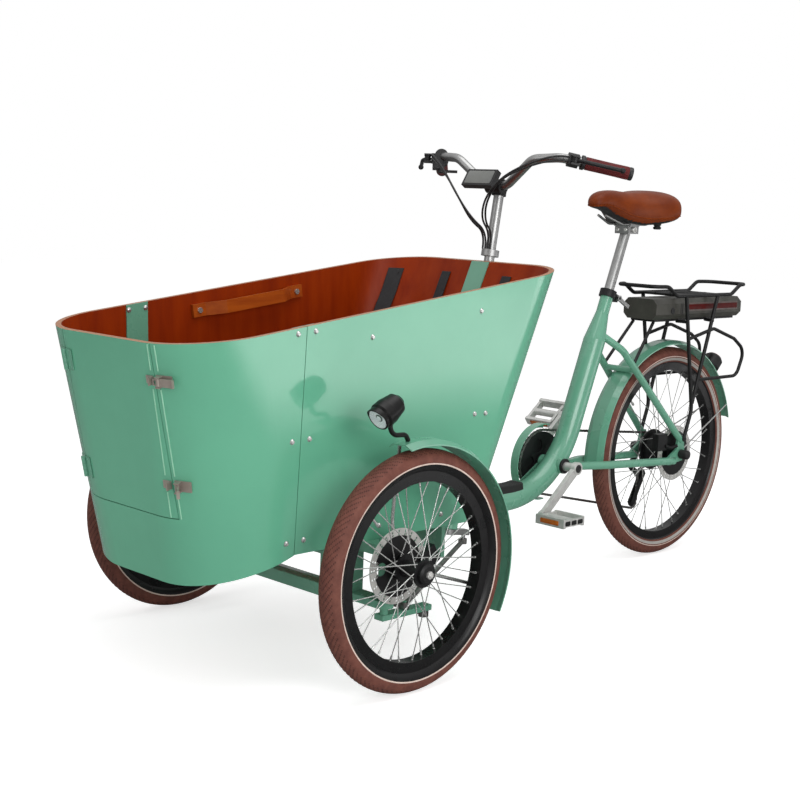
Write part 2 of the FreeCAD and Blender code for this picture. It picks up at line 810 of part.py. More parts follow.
def plan_wire(z, inset):
    plan = plan_at(z)
    front = float(front_x) + plan["front"] - inset
    rear = float(front_x) - plan["rear"] + inset
    half = plan["half"] - inset
    nose = plan["front_radius"] - inset
    tail = plan["rear_radius"] - inset
    z = float(z)
    edges = []

    def corner(cx, cy, radius, angle):
        points = []
        for share in (0, 45, 90):
            at = math.radians(angle + share)
            points.append(vec(cx + radius * math.cos(at), cy + radius * math.sin(at), z))
        return points

    corners = [
        corner(front - nose, -half + nose, nose, -90), corner(front - nose, half - nose, nose, 0),
        corner(rear + tail, half - tail, tail, 90), corner(rear + tail, -half + tail, tail, 180),
    ]
    for now, after in zip(corners, corners[1:] + corners[:1]):
        edges.append(Part.Arc(*now).toShape())
        edges.append(Part.LineSegment(now[2], after[0]).toShape())
    return Part.Wire(edges)


def box_loft(name, inset):
    low = feature(f"{name}_low", plan_wire(s.box_low_z - 60, float(inset)))
    high = feature(f"{name}_high", plan_wire(s.box_high_z + 40, float(inset)))
    loft = doc.addObject("Part::Loft", name)
    loft.Sections = [low, high]
    loft.Solid = True
    loft.Ruled = True
    return loft


def wall_x(y, z):
    # outer face of the front wall
    plan = plan_at(z)
    flat = plan["half"] - plan["front_radius"]
    beyond = max(0.0, abs(float(y)) - flat)
    bulge = plan["front_radius"] - math.sqrt(plan["front_radius"] ** 2 - beyond ** 2)
    return float(front_x) + plan["front"] - bulge


def wall_y(z):
    return plan_at(z)["half"]


outer_loft = box_loft("outer_loft", 0)
inner_loft = box_loft("inner_loft", s.ply_thick)
strap_loft = box_loft("strap_loft", s.ply_thick + s.strap_thick)
harness_back = box_loft("harness_back", s.ply_thick + s.leaf_gap)
harness_loft = box_loft("harness_loft", s.ply_thick + s.leaf_gap + s.harness_thick)

far_x = float(front_x) + 900
near_x = float(front_x) - 900
slope = math.tan(math.radians(float(s.rim_line_tilt)))
drop = math.tan(math.radians(float(s.apron_angle)))


def rim_z(x):
    return float(s.rim_line_z) - (x - float(front_x)) * slope


apron_x = float(front_x + s.apron_start)
above = [(near_x, rim_z(near_x)), (far_x, rim_z(far_x)), (far_x, s.trim_reach), (near_x, s.trim_reach)]
skirt = float(s.skirt_z)
below = [(near_x, 0), (far_x, 0), (far_x, skirt - (far_x - apron_x) * drop), (apron_x, skirt),
         (near_x, skirt)]
over = feature("over_rim", plate_xz(above, -s.trim_reach, s.trim_reach))
under = feature("under_skirt", plate_xz(below, -s.trim_reach, s.trim_reach))
trim_tool = joined("trim_tool", over, under)
wall = cut("box_wall", cut("box_shell", outer_loft, inner_loft), trim_tool)

seam_x = front_x + s.seam_ahead
half_gap = s.panel_gap / 2
reach = s.trim_reach
front_zone = block("front_zone", (seam_x + half_gap, -reach, 0), (reach, 2 * reach, reach))
left_zone = block("left_zone", (seam_x - half_gap - reach, half_gap, 0), (reach, reach, reach))
right_zone = block("right_zone", (seam_x - half_gap - reach, -half_gap - reach, 0), (reach, reach, reach))
named(common("left_panel", wall, left_zone), "left_panel")
named(common("right_panel", wall, right_zone), "right_panel")

# door: cut square to the leaning front wall
wall_lean = math.degrees(math.atan2(float(s.box_high_front - s.box_low_front),
                                    float(s.box_high_z - s.box_low_z)))
lean_turn = FreeCAD.Rotation(AXIS_Y, wall_lean)
sill_at = vec(wall_x(0, s.door_sill_z), 0, s.door_sill_z)
door_depth = 120
door_base = sill_at + lean_turn.multVec(vec(-door_depth / 2, 0, 0))
door_zone = block("door_zone", (door_base.x, -s.door_half, door_base.z), (door_depth, 2 * s.door_half, 700),
                  lean_turn)
gap_base = sill_at + lean_turn.multVec(vec(-door_depth / 2, 0, -float(s.door_gap)))
door_way = block("door_way", (gap_base.x, -s.door_half - s.door_gap, gap_base.z),
                 (door_depth, 2 * (s.door_half + s.door_gap), 700), lean_turn)
front_wall = common("front_wall", wall, front_zone)
named(cut("front_panel", front_wall, door_way), "front_panel")
named(common("door", front_wall, door_zone), "door")

# hinges on the right edge of the door, latches on its left edge

hinge_y = -float(s.door_half + s.door_gap / 2)
knuckle_off = float(s.hinge_knuckle_radius) + 1.0
hinge_top = vec(wall_x(hinge_y, s.hinge_upper_z) + knuckle_off, hinge_y, s.hinge_upper_z)
hinge_low = vec(wall_x(hinge_y, s.hinge_lower_z) + knuckle_off, hinge_y, s.hinge_lower_z)
hinge_axis = unit(hinge_top - hinge_low)


def wall_frame(y, z):
    # a point on the front wall, with its outward normal, its sideways and its upward direction
    step = 0.5
    here = vec(wall_x(y, z), y, z)
    side_way = unit(vec(wall_x(y + step, z), y + step, z) - here)
    up_way = unit(vec(wall_x(y, z + step), y, z + step) - here)
    return here, unit(side_way.cross(up_way)), side_way, up_way


def slab(origin, along, out, up, low, high):
    # a box in a frame of its own, from its low to its high corner
    low = [float(value) for value in low]
    high = [float(value) for value in high]
    ring = ((low[0], low[1]), (high[0], low[1]), (high[0], high[1]), (low[0], high[1]))
    corners = [origin + along * across + out * rise + up * low[2] for across, rise in ring]
    face = Part.Face(Part.makePolygon(corners + corners[:1]))
    return face.extrude(up * (high[2] - low[2]))


def hinge(middle, way):
    # one leaf with its share of the knuckle: way -1 is the panel's, +1 the door's
    height = float(s.hinge_height)
    barrel = float(s.hinge_knuckle_radius)
    third = height / 3
    leaf_y = middle.y + way * float(s.hinge_leaf_width) / 2
    base, out, across, up = wall_frame(leaf_y, middle.z)
    along = unit(across - hinge_axis * across.dot(hinge_axis))
    out = unit(along.cross(hinge_axis))
    lift = (base - middle).dot(out) + float(s.leaf_gap)
    low = (0, lift, -height / 2) if way > 0 else (-float(s.hinge_leaf_width), lift, -height / 2)
    high = (float(s.hinge_leaf_width), lift + float(s.hinge_leaf_thick), height / 2)
    if way < 0:
        high = (0, high[1], high[2])
    leaf = slab(middle, along, out, hinge_axis, low, high)
    inner = Part.makeCylinder(barrel, third - 0.6, middle - hinge_axis * (third / 2 - 0.3), hinge_axis)
    ends = [Part.makeCylinder(barrel, third, middle - hinge_axis * (height / 2), hinge_axis),
            Part.makeCylinder(barrel, third, middle + hinge_axis * (height / 2 - third), hinge_axis)]
    spare = Part.makeCylinder(barrel + 0.6, third + 0.6, middle - hinge_axis * (third / 2 + 0.3),
                              hinge_axis)
    tall = Part.makeCylinder(barrel + 0.6, height + 2, middle - hinge_axis * (height / 2 + 1), hinge_axis)
    inner_spare = Part.makeCylinder(barrel + 0.6, third - 0.6, middle - hinge_axis * (third / 2 - 0.3),
                                    hinge_axis)
    pin = Part.makeCylinder(float(s.hinge_pin_radius), height, middle - hinge_axis * (height / 2),
                            hinge_axis)
    if way < 0:
        return fused([leaf.cut(spare), *ends, pin])
    bore = Part.makeCylinder(float(s.hinge_pin_radius + s.running_clearance), height + 2,
                             middle - hinge_axis * (height / 2 + 1), hinge_axis)
    return fused([leaf.cut(tall.cut(inner_spare)), inner]).cut(bore)


def latch_frame(z):
    base, out, across, up = wall_frame(float(s.door_half) + 24.0, float(z))
    return base + out * float(s.leaf_gap), out, across, unit(out.cross(across))


# the latch pin's place along the wall and above it
LATCH_PIN = (-8.0, 12.0)


def latch_base(z):
    # plate with two ears and the lever's pin
    base, out, across, up = latch_frame(z)
    half = float(s.latch_width) / 2 + 3
    plate = slab(base, across, out, up, (-18, 0, -half), (18, 2, half))
    ears = [slab(base, across, out, up, (LATCH_PIN[0] - 5, 0, end - 1.2), (LATCH_PIN[0] + 5, 16, end + 1.2))
            for end in (-half + 1.2, half - 1.2)]
    pin_at = base + across * LATCH_PIN[0] + out * LATCH_PIN[1] - up * half
    pin = Part.makeCylinder(2.0, 2 * half, pin_at, up)
    return fused([plate, *ears, pin])


def latch_lever(z, opened):
    # lever plate with its draw loop, turned about the pin by the angle at which it stands
    base, out, across, up = latch_frame(z)
    half = float(s.latch_width) / 2
    pin_at = base + across * LATCH_PIN[0] + out * LATCH_PIN[1]
    barrel = Part.makeCylinder(4.2, 2 * half, pin_at - up * half, up)
    plate = slab(base, across, out, up, (LATCH_PIN[0], LATCH_PIN[1] - 1.5, -half),
                 (LATCH_PIN[0] + float(s.latch_length), LATCH_PIN[1] + 1.5, half))
    lip = slab(base, across, out, up, (LATCH_PIN[0] + float(s.latch_length) - 3, LATCH_PIN[1] - 1.5, -half),
               (LATCH_PIN[0] + float(s.latch_length), LATCH_PIN[1] + 5, half))
    reach = -19.0
    loop = [slab(base, across, out, up, (reach, LATCH_PIN[1] - 1.2, end - 1.2),
                 (LATCH_PIN[0], LATCH_PIN[1] + 1.2, end + 1.2))
            for end in (-half + 2.5, half - 2.5)]
    bar = slab(base, across, out, up, (reach, LATCH_PIN[1] - 1.2, -half + 2.5),
               (reach + 2.4, LATCH_PIN[1] + 1.2, half - 2.5))
    bore = Part.makeCylinder(2.0 + float(s.running_clearance), 2 * half + 2, pin_at - up * (half + 1), up)
    lever = fused([barrel, plate, lip, *loop, bar]).cut(bore)
    lever.rotate(pin_at, up, -opened)
    return lever


def latch_hook(z):
    # keeper on the door's edge
    base, out, across, up = wall_frame(float(s.door_half) - 12.0, float(z))
    base = base + out * float(s.leaf_gap)
    up = unit(out.cross(across))
    plate = slab(base, across, out, up, (-9, 0, -8), (11, 2, 8))
    lip = slab(base, across, out, up, (8, 0, -8), (11, 14, 8))
    return fused([plate, lip])


# screw heads on the side walls, as (ahead of the axle, height)
SCREW_PLACES = (
    (235, 737), (190, 741), (235, 524), (190, 526), (235, 318), (190, 320),
    (35, 723), (-290, 767), (-294, 538), (-330, 537), (-209, 321), (-20, 321),
)


def screw_head(ahead, z, sign):
    tilt = float(s.box_high_half - s.box_low_half) / float(s.box_high_z - s.box_low_z)
    out = unit(vec(0, sign, -tilt))
    at = vec(float(front_x) + ahead, sign * wall_y(z), z)
    radius = float(s.screw_radius)
    rise = float(s.screw_rise)
    return Part.makeCone(radius, radius * 0.55, rise, at, out)


hardware = [screw_head(ahead, z, sign) for ahead, z in SCREW_PLACES for side, sign in SIDES]
hardware += [hinge(hinge_top, -1), hinge(hinge_low, -1), latch_base(s.latch_upper_z),
             latch_base(s.latch_lower_z)]
named(feature("box_hardware", Part.makeCompound(hardware)), "box_hardware")
keepers = [hinge(hinge_top, 1), hinge(hinge_low, 1), latch_hook(s.latch_upper_z),
           latch_hook(s.latch_lower_z)]
named(feature("door_hardware", Part.makeCompound(keepers)), "door_hardware")
named(feature("upper_latch", latch_lever(s.latch_upper_z, 0)), "upper_latch")
named(feature("lower_latch", latch_lever(s.latch_lower_z, float(s.latch_open_angle))), "lower_latch")

# straps over the three seams, inside the box

strap_wall = cut("strap_wall", cut("strap_shell", inner_loft, strap_loft), trim_tool)
strap_low = s.strap_foot_z
side_bands = block("side_bands", (seam_x - s.strap_width / 2, -s.trim_reach, strap_low),
                   (s.strap_width, s.trim_reach * 2, s.trim_reach))
rear_band = block("rear_band", (front_x - s.trim_reach, -s.strap_width / 2, s.bench_top_z + 2),
                  (s.trim_reach, s.strap_width, s.trim_reach))
side_straps = common("side_straps", strap_wall, side_bands)
rear_strap = common("rear_strap", strap_wall, rear_band)
named(group("seam_straps", side_straps, rear_strap), "seam_straps")

# floor board, bench, grab handles and harness

floor_blank = feature("floor_blank", Part.Face(plan_wire(s.floor_z,
                                                         float(s.ply_thick + s.wall_clearance))).extrude(
    vec(0, 0, s.floor_thick)))
floor_zone = block("floor_zone", (front_x - s.bench_front + s.wall_clearance, -s.trim_reach, 0),
                   (s.trim_reach, s.trim_reach * 2, s.trim_reach))
named(common("floor_board", floor_blank, floor_zone), "floor_board")

bench_low_z = s.bench_top_z - s.ply_thick
seat_blank = feature("seat_blank", Part.Face(plan_wire(bench_low_z,
                                                       float(s.ply_thick + s.wall_clearance))).extrude(
    vec(0, 0, s.ply_thick)))
seat_zone = block("seat_zone", (front_x - s.trim_reach, -s.trim_reach, 0),
                  (s.trim_reach - s.bench_front, s.trim_reach * 2, s.trim_reach))
seat_board = common("seat_board", seat_blank, seat_zone)
half_front = plan_at(s.floor_z)["half"] - float(s.ply_thick + s.wall_clearance)
riser = block("bench_riser", (front_x - s.bench_front - s.ply_thick, -half_front, s.floor_z),
              (s.ply_thick, 2 * half_front, bench_low_z - s.floor_z))
locker_zone = block("locker_zone", (front_x - s.trim_reach, -s.trim_reach, 0),
                    (s.trim_reach - s.bench_front, s.trim_reach * 2, s.trim_reach))
locker_bottom = common("locker_bottom", floor_blank, locker_zone)
named(joined("bench", seat_board, riser, locker_bottom), "bench")


def grab_handle(sign):
    # a bent strip whose two feet lie along the side wall, each under a bolt head
    tilt = float(s.box_high_half - s.box_low_half) / float(s.box_high_z - s.box_low_z)
    out = unit(vec(0, sign, -tilt))
    along = vec(1, 0, -slope)
    along = unit(along - out * along.dot(out))
    up = unit(out.cross(along))
    if up.z < 0:
        up = up * -1.0
    inward = out * -1.0
    z = float(s.handle_z)
    wall_at = vec(front_x - s.handle_setback, sign * (wall_y(z) - float(s.ply_thick)), z)
    origin = wall_at + inward * float(s.leaf_gap)
    half = float(s.handle_length) / 2
    bow = float(s.handle_bow)
    thick = float(s.handle_thick)
    tall = float(s.handle_height) / 2
    runs = [(-half - 18, 0), (-half + 18, 0), (-half + 60, bow), (half - 60, bow), (half - 18, 0),
            (half + 18, 0)]
    outline = runs + [(x, y + thick) for x, y in reversed(runs)]
    points = [origin + along * x + inward * y - up * tall for x, y in outline]
    strip = Part.Face(Part.makePolygon(points + points[:1])).extrude(up * (2 * tall))
    heads = [Part.makeCylinder(6.5, 4, origin + along * (end * half) + inward * (thick - 0.5),
                               inward) for end in (-1, 1)]
    return fused([strip, *heads])


named(feature("grab_handles", Part.makeCompound([grab_handle(sign) for side, sign in SIDES])),
      "grab_handles")

harness_wall = cut("harness_wall", harness_back, harness_loft)
bands = []
for side, sign in SIDES:
    for place, value in (("inner", s.harness_inner), ("outer", s.harness_outer)):
        corner = (front_x - s.trim_reach, sign * value - s.harness_width / 2, s.bench_top_z + 2)
        size = (s.trim_reach - s.bench_front, s.harness_width, s.harness_top_z - s.bench_top_z - 2)
        bands.append(block(f"{side}_{place}_band", corner, size))
named(common("harness", harness_wall, joined("harness_bands", *bands)), "harness")

# subframe: rails, axle beams with the kingpin bores, front bumper bar

rail_z = s.floor_z - s.rail_size
parts = []
for side, sign in SIDES:
    rail_y = sign * s.rail_spread / 2
    parts.append(block(f"{side}_rail", (front_x - s.rail_rear, rail_y - s.rail_size / 2, rail_z),
                       (s.rail_rear + s.rail_front, s.rail_size, s.rail_size)))
    for level, z, thick in (("upper", s.beam_upper_z, s.beam_upper_thick),
                            ("lower", s.beam_lower_z, s.beam_lower_thick)):
        parts.append(rod(f"{side}_{level}_boss", (front_x, sign * s.kingpin_half_spread, z),
                         s.beam_width / 2, thick))
    cheek_y = sign * s.cheek_half - s.cheek_thick / 2
    parts.append(block(f"{side}_cheek", (front_x - s.beam_width / 2, cheek_y, s.beam_lower_z),
                       (s.beam_width, s.cheek_thick, s.beam_upper_z - s.beam_lower_z)))
    plate_y = sign * s.bumper_half - 4
    parts.append(block(f"{side}_bumper_plate", (front_x + s.bumper_ahead, plate_y, s.bumper_z),
                       (s.bumper_size, 8, s.floor_z - s.bumper_z)))
for level, z, thick in (("upper", s.beam_upper_z, s.beam_upper_thick),
                        ("lower", s.beam_lower_z, s.beam_lower_thick)):
    parts.append(block(f"{level}_beam", (front_x - s.beam_width / 2, -s.kingpin_half_spread, z),
                       (s.beam_width, 2 * s.kingpin_half_spread, thick)))
cross_y = s.rail_spread / 2 + s.rail_size / 2
parts.append(block("front_cross", (front_x + s.cross_ahead, -cross_y, rail_z),
                   (s.rail_size, 2 * cross_y, s.rail_size)))
parts.append(block("bumper_hanger", (front_x + s.bumper_ahead, -s.bumper_half, rail_z),
                   (s.bumper_size, 2 * s.bumper_half, s.rail_size)))
parts.append(block("bumper_bar", (front_x + s.bumper_ahead, -s.bumper_half, s.bumper_z),
                   (s.bumper_size, 2 * s.bumper_half, s.bumper_size)))
parts.append(block("rear_beam", (front_x - s.rail_rear, -cross_y, s.floor_z - s.rear_beam_depth),
                   (s.rear_beam_thick, 2 * cross_y, s.rear_beam_depth)))
bores = []
for side, sign in SIDES:
    bores.append(rod(f"{side}_king_bore", (front_x, sign * s.kingpin_half_spread, s.beam_lower_z - 5),
                     s.kingpin_radius + s.running_clearance,
                     s.beam_upper_z + s.beam_upper_thick + 10 - s.beam_lower_z))
named(cut("subframe", joined("subframe_weld", *parts), joined("king_bores", *bores)), "subframe")

# main frame: one bent tube from the box to the saddle, with the stays welded to it

tilt = math.radians(float(s.seat_tilt))
corner_x = float(front_x - s.frame_corner_setback)
corner_z = float(s.main_tube_z)


def seat_point(z):
    # a point on the seat tube's axis
    return vec(corner_x - (float(z) - corner_z) * math.tan(tilt), 0, z)


flange_x = float(front_x - s.rail_rear)
tube_path = [vec(flange_x, 0, s.main_tube_z), vec(corner_x, 0, corner_z), seat_point(s.seat_taper_low_z)]
main_outer = tube(tube_path, s.main_tube_radius, s.main_bend_radius)
inner_path = [vec(flange_x - float(s.flange_thick), 0, s.main_tube_z), vec(corner_x, 0, corner_z),
              seat_point(s.seat_taper_low_z - 40)]
main_inner = tube(inner_path, s.main_tube_radius - s.main_tube_wall, s.main_bend_radius)
seat_way = unit(seat_point(1000) - seat_point(0))
taper_run = (seat_point(s.seat_taper_high_z) - seat_point(s.seat_taper_low_z)).Length
taper = Part.makeCone(float(s.main_tube_radius), float(s.seat_tube_radius), taper_run,
                      seat_point(s.seat_taper_low_z), seat_way)
neck = straight(seat_point(s.seat_taper_high_z), seat_point(s.seat_tube_top_z), s.seat_tube_radius)
flange = Part.makeBox(float(s.flange_thick), float(s.flange_size), float(s.flange_size),
                      vec(flange_x - float(s.flange_thick), -s.flange_size / 2,
                          s.main_tube_z - s.flange_size / 2))
crank_at = vec(front_x - s.crank_setback, 0, s.crank_z)
bracket = straight(crank_at - vec(0, s.bracket_width / 2, 0), crank_at + vec(0, s.bracket_width / 2, 0),
                   s.bracket_radius)
column_foot = vec(front_x - s.column_setback, 0, s.column_foot_z)
column_way = vec(-sine(s.column_tilt), 0, cosine(s.column_tilt))


def column_point(z):
    return column_foot + column_way * ((float(z) - float(s.column_foot_z)) / column_way.z)


head_low = column_foot + column_way * float(s.pitman_thick + s.link_gap)
head_tube = straight(head_low, head_low + column_way * float(s.head_tube_length), s.head_tube_radius)
rear_axle = vec(rear_x, 0, rear_z)
frame_parts = [main_outer, taper, neck, flange, bracket, head_tube]
half_drop = float(s.dropout_half)
for side, sign in SIDES:
    stay_end = vec(float(rear_x) + 24, sign * half_drop, float(rear_z) - 19)
    chain_stay = [crank_at + vec(-6, sign * 20, -8), crank_at + vec(-96, sign * 27, -11),
                  crank_at + vec(-168, sign * 50, -13), stay_end]
    frame_parts.append(tube(chain_stay, s.chain_stay_radius, 80))
    top_end = vec(float(rear_x) - 4, sign * half_drop, float(rear_z) + 38)
    seat_stay = [seat_point(655) + vec(-8, sign * 14, 0), seat_point(620) + vec(-75, sign * 48, -6),
                 top_end]
    frame_parts.append(tube(seat_stay, s.seat_stay_radius, 60))
    plate = [(stay_end.x + 30, stay_end.z + 12), (stay_end.x + 30, stay_end.z - 9),
             (float(rear_x) - 12, float(rear_z) - 20),
             (float(rear_x) - 22, float(rear_z) + 4), (top_end.x - 10, top_end.z + 14),
             (top_end.x + 12, top_end.z + 14),
             (float(rear_x) + 18, float(rear_z) + 14)]
    y_low = sign * half_drop - float(s.dropout_thick) / 2
    frame_parts.append(plate_xz(plate, y_low, y_low + float(s.dropout_thick)))
    nut_at = rear_axle + vec(0, sign * (half_drop + float(s.dropout_thick) / 2), 0)
    frame_parts.append(straight(nut_at, nut_at + vec(0, sign * float(s.axle_nut_length), 0),
                                s.axle_nut_radius))
frame_parts.append(straight(rear_axle - vec(0, half_drop, 0), rear_axle + vec(0, half_drop, 0),
                            s.rear_axle_radius))
guard_edge = float(s.rear_wheel_radius + s.fender_gap + s.fender_thick)
bridge_radius = 8.0
bridge_from = seat_point(620) + vec(-75, 48, -6)
bridge_to = vec(float(rear_x) - 4, half_drop, float(rear_z) + 38)
bridge_way = bridge_to - bridge_from
bridge_room = guard_edge + bridge_radius + 1.4
bridge_steps = [bridge_from + bridge_way * (step / 400) for step in range(400)]
bridge_at = next(at for at in bridge_steps
                 if math.hypot(at.x - rear_axle.x, at.z - rear_axle.z) < bridge_room)
frame_parts.append(straight(bridge_at, vec(bridge_at.x, -bridge_at.y, bridge_at.z), bridge_radius))
frame_weld = feature("frame_weld", fused(frame_parts))
column_hole = straight(column_foot - column_way * 20, column_foot + column_way * 320,
                       s.column_radius + s.running_clearance)
post_hole = straight(seat_point(s.post_low_z - 30), seat_point(s.seat_tube_top_z + 40),
                     s.post_radius + s.running_clearance)
crank_hole = straight(crank_at - vec(0, 60, 0), crank_at + vec(0, 60, 0),
                      s.crank_axle_radius + s.running_clearance)
frame_bores = feature("frame_bores", fused([main_inner, column_hole, post_hole, crank_hole]))
sleeves = [straight(head_low, head_low + column_way * float(s.head_tube_length),
                    s.head_tube_radius).cut(column_hole),
           bracket.cut(crank_hole)]
frame_sleeves = feature("frame_sleeves", Part.makeCompound(sleeves))
frame_hollow = cut("frame_hollow", frame_weld, frame_bores)
named(joined("main_frame", frame_hollow, frame_sleeves), "main_frame")

# steering column with its drop arm, and the links to the wheels

column_top = column_point(s.column_top_z)
collar_at = column_point(s.cable_collar_z)
square_way = vec(cosine(s.column_tilt), 0, sine(s.column_tilt))
column_parts = [
    straight(column_foot, column_top, s.column_radius),
    straight(collar_at, collar_at + column_way * 16, s.cable_collar_radius),
    slab(column_foot, square_way, AXIS_Y, column_way, (-float(s.pitman_length) - 10, -11, 0),
         (0, 11, float(s.pitman_thick))),
    straight(column_foot, column_foot + column_way * float(s.pitman_thick), 18),
]
drop_end = column_foot - square_way * float(s.pitman_length)
drag_z = float(s.steer_arm_z + s.steer_arm_thick + s.link_gap + s.link_eye_height / 2)
stud_low = drop_end - column_way * (drop_end.z - drag_z + float(s.link_eye_height) / 2 + 1)
column_parts.append(straight(stud_low, drop_end + column_way * 2, s.stud_radius))
named(feature("steering_column", fused(column_parts)), "steering_column")

tie_z = float(s.steer_arm_z - s.link_gap - s.link_eye_height)
eye = float(s.link_eye_height)


def link(start, end, z, start_hole, end_hole):
    # a rod with an upright eye at each end
    rise = vec(0, 0, z)
    start = vec(start.x, start.y, 0) + rise
    end = vec(end.x, end.y, 0) + rise
    middle = vec(0, 0, eye / 2)
    whole = fused([straight(start + middle, end + middle, s.link_radius - 1),
                   Part.makeCylinder(float(s.link_eye_radius), eye, start),
                   Part.makeCylinder(float(s.link_eye_radius), eye, end)])
    for at, hole in ((start, start_hole), (end, end_hole)):
        whole = whole.cut(Part.makeCylinder(float(hole), eye + 4, at - vec(0, 0, 2)))
    return whole


left_arm = vec(front_x - s.steer_arm_length, s.kingpin_half_spread, 0)
right_arm = vec(front_x - s.steer_arm_length, -s.kingpin_half_spread, 0)
snug = s.stud_radius + s.running_clearance
named(feature("tie_rod", link(left_arm, right_arm, tie_z, snug, s.stud_radius + 0.3)), "tie_rod")
drag_front = vec(front_x - s.pitman_length, s.kingpin_half_spread, 0)
drag_rear = drop_end - column_way * (drop_end.z - drag_z)
drag = link(drag_front, drag_rear, drag_z - eye / 2, snug, s.stud_radius + s.open_pivot_gap)
named(feature("drag_link", drag), "drag_link")

# handlebar, grips and controls

bar_mid = column_top - column_way * float(s.bar_radius) + vec(s.bar_forward, 0, 0)
bar_half = [
    bar_mid + vec(0, 34, 2), bar_mid + vec(10, 122, s.bar_rise),
    bar_mid + vec(-6, s.bar_half_width - 114, s.bar_rise + 4),
    bar_mid + vec(-s.bar_sweep_back, s.bar_half_width, s.bar_rise - 28),
]


def mirrored(point):
    return vec(point.x, -point.y, point.z)


bar_path = list(reversed(bar_half)) + [mirrored(point) for point in bar_half]
bar_tube = tube(bar_path, s.bar_radius, 45)
bar_room = tube(bar_path, s.bar_radius + s.grip_clearance, 45)
stem_clamp = straight(bar_mid - vec(0, 24, 0), bar_mid + vec(0, 24, 0), 18)
stem_sleeve = straight(column_top - column_way * 34, column_top + column_way * 4, s.column_radius + 5)
column_bore = straight(column_foot, column_top, s.column_radius)
named(feature("handlebar", fused([bar_tube, stem_clamp, stem_sleeve]).cut(column_bore)), "handlebar")

grip_way = {}
grip_tip = {}
grips = []
for side, sign in SIDES:
    tip = bar_half[-1] if sign > 0 else mirrored(bar_half[-1])
    root = bar_half[-2] if sign > 0 else mirrored(bar_half[-2])
    way = unit(tip - root)
    grip_way[side] = way
    grip_tip[side] = tip
    sleeve = straight(tip - way * (float(s.grip_length) - 4), tip + way * 4, s.grip_radius)
    bore = straight(tip - way * 200, tip, s.bar_radius + s.grip_clearance)
    grips.append(sleeve.cut(bore))
named(feature("grips", Part.makeCompound(grips)), "grips")


def lever_frame(side):
    # where the brake lever turns: beside the bar, ahead of the grip
    way = grip_way[side]
    sign = 1 if side == "left" else -1
    ahead = unit(vec(-way.y * -sign, way.x * -sign, 0))
    up = unit(way.cross(ahead)) * (1 if side == "left" else -1)
    if up.z < 0:
        up = up * -1.0
    clamp_mid = grip_tip[side] - way * (float(s.grip_length + s.control_length / 2) + 2)
    return way, ahead, up, clamp_mid


controls = []
levers = {}
LEVER_PIN = 4.0
for side, sign in SIDES:
    way, ahead, up, clamp_mid = lever_frame(side)
    half = float(s.control_length) / 2
    ring = straight(clamp_mid - way * half, clamp_mid + way * half, s.control_radius)
    perch = slab(clamp_mid, way, ahead, up, (-half, 0, -11), (half, 26, 11))
    pivot_at = clamp_mid + ahead * 36
    fork = [slab(clamp_mid, way, ahead, up, (-9, 24, low), (9, 45, low + 4)) for low in (-11, 7)]
    pin = straight(pivot_at - up * 11, pivot_at + up * 11, LEVER_PIN)
    controls.append(fused([ring, perch, *fork, pin]).cut(bar_room))
    hub = straight(pivot_at - up * 6, pivot_at + up * 6, 8)
    knee = pivot_at + way * 26 + ahead * (float(s.lever_stand_off) - 36)
    end = pivot_at + way * float(s.lever_length) + ahead * (float(s.lever_stand_off) - 30)
    blade = tube([pivot_at, knee, end], s.lever_radius, 40)
    ball = Part.makeSphere(float(s.lever_radius) + 2, end)
    hole = straight(pivot_at - up * 20, pivot_at + up * 20, LEVER_PIN + float(s.running_clearance))
    levers[side] = fused([hub, blade, ball]).cut(hole)
for side, sign in SIDES:
    named(feature(f"{side}_brake_lever", levers[side]), f"{side}_brake_lever")

# gear shifter under the right side of the bar
way, ahead, up, clamp_mid = lever_frame("right")
shift_mid = clamp_mid - way * (float(s.control_length) + 3)
half = float(s.control_length) / 2
ring = straight(shift_mid - way * half, shift_mid + way * half, s.control_radius)
case = slab(shift_mid, way, ahead, up, (-half, -8, -34), (half, 22, -8))
shift_pivot = shift_mid - up * 34
boss = straight(shift_pivot - up * 9, shift_pivot, LEVER_PIN)
controls.append(fused([ring, case, boss]).cut(bar_room))
paddle_hub = straight(shift_pivot - up * 8, shift_pivot - up * 0.5, 9)
paddle = slab(shift_pivot, way, ahead, up, (-6, -42, -7), (6, 0, -2))
hole = straight(shift_pivot - up * 20, shift_pivot + up * 4, LEVER_PIN + float(s.running_clearance))
named(feature("shift_lever", fused([paddle_hub, paddle]).cut(hole)), "shift_lever")

# display on a short arm ahead of the stem
display_turn = FreeCAD.Rotation(AXIS_Y, float(s.display_tilt))
display_at = bar_mid + vec(50, 0, 12)
screen = slab(display_at, display_turn.multVec(AXIS_X), AXIS_Y, display_turn.multVec(AXIS_Z),
              (-s.display_height / 2, -s.display_width / 2, 0), (s.display_height / 2, s.display_width / 2,
                                                                 s.display_thick))
display_arm = straight(bar_mid, display_at + display_turn.multVec(AXIS_Z) * 5, 7)
controls.append(fused([screen, display_arm]).cut(nodes["handlebar"].Shape))
named(feature("bar_controls", Part.makeCompound(controls)), "bar_controls")

# control cables from the levers to the collar on the column

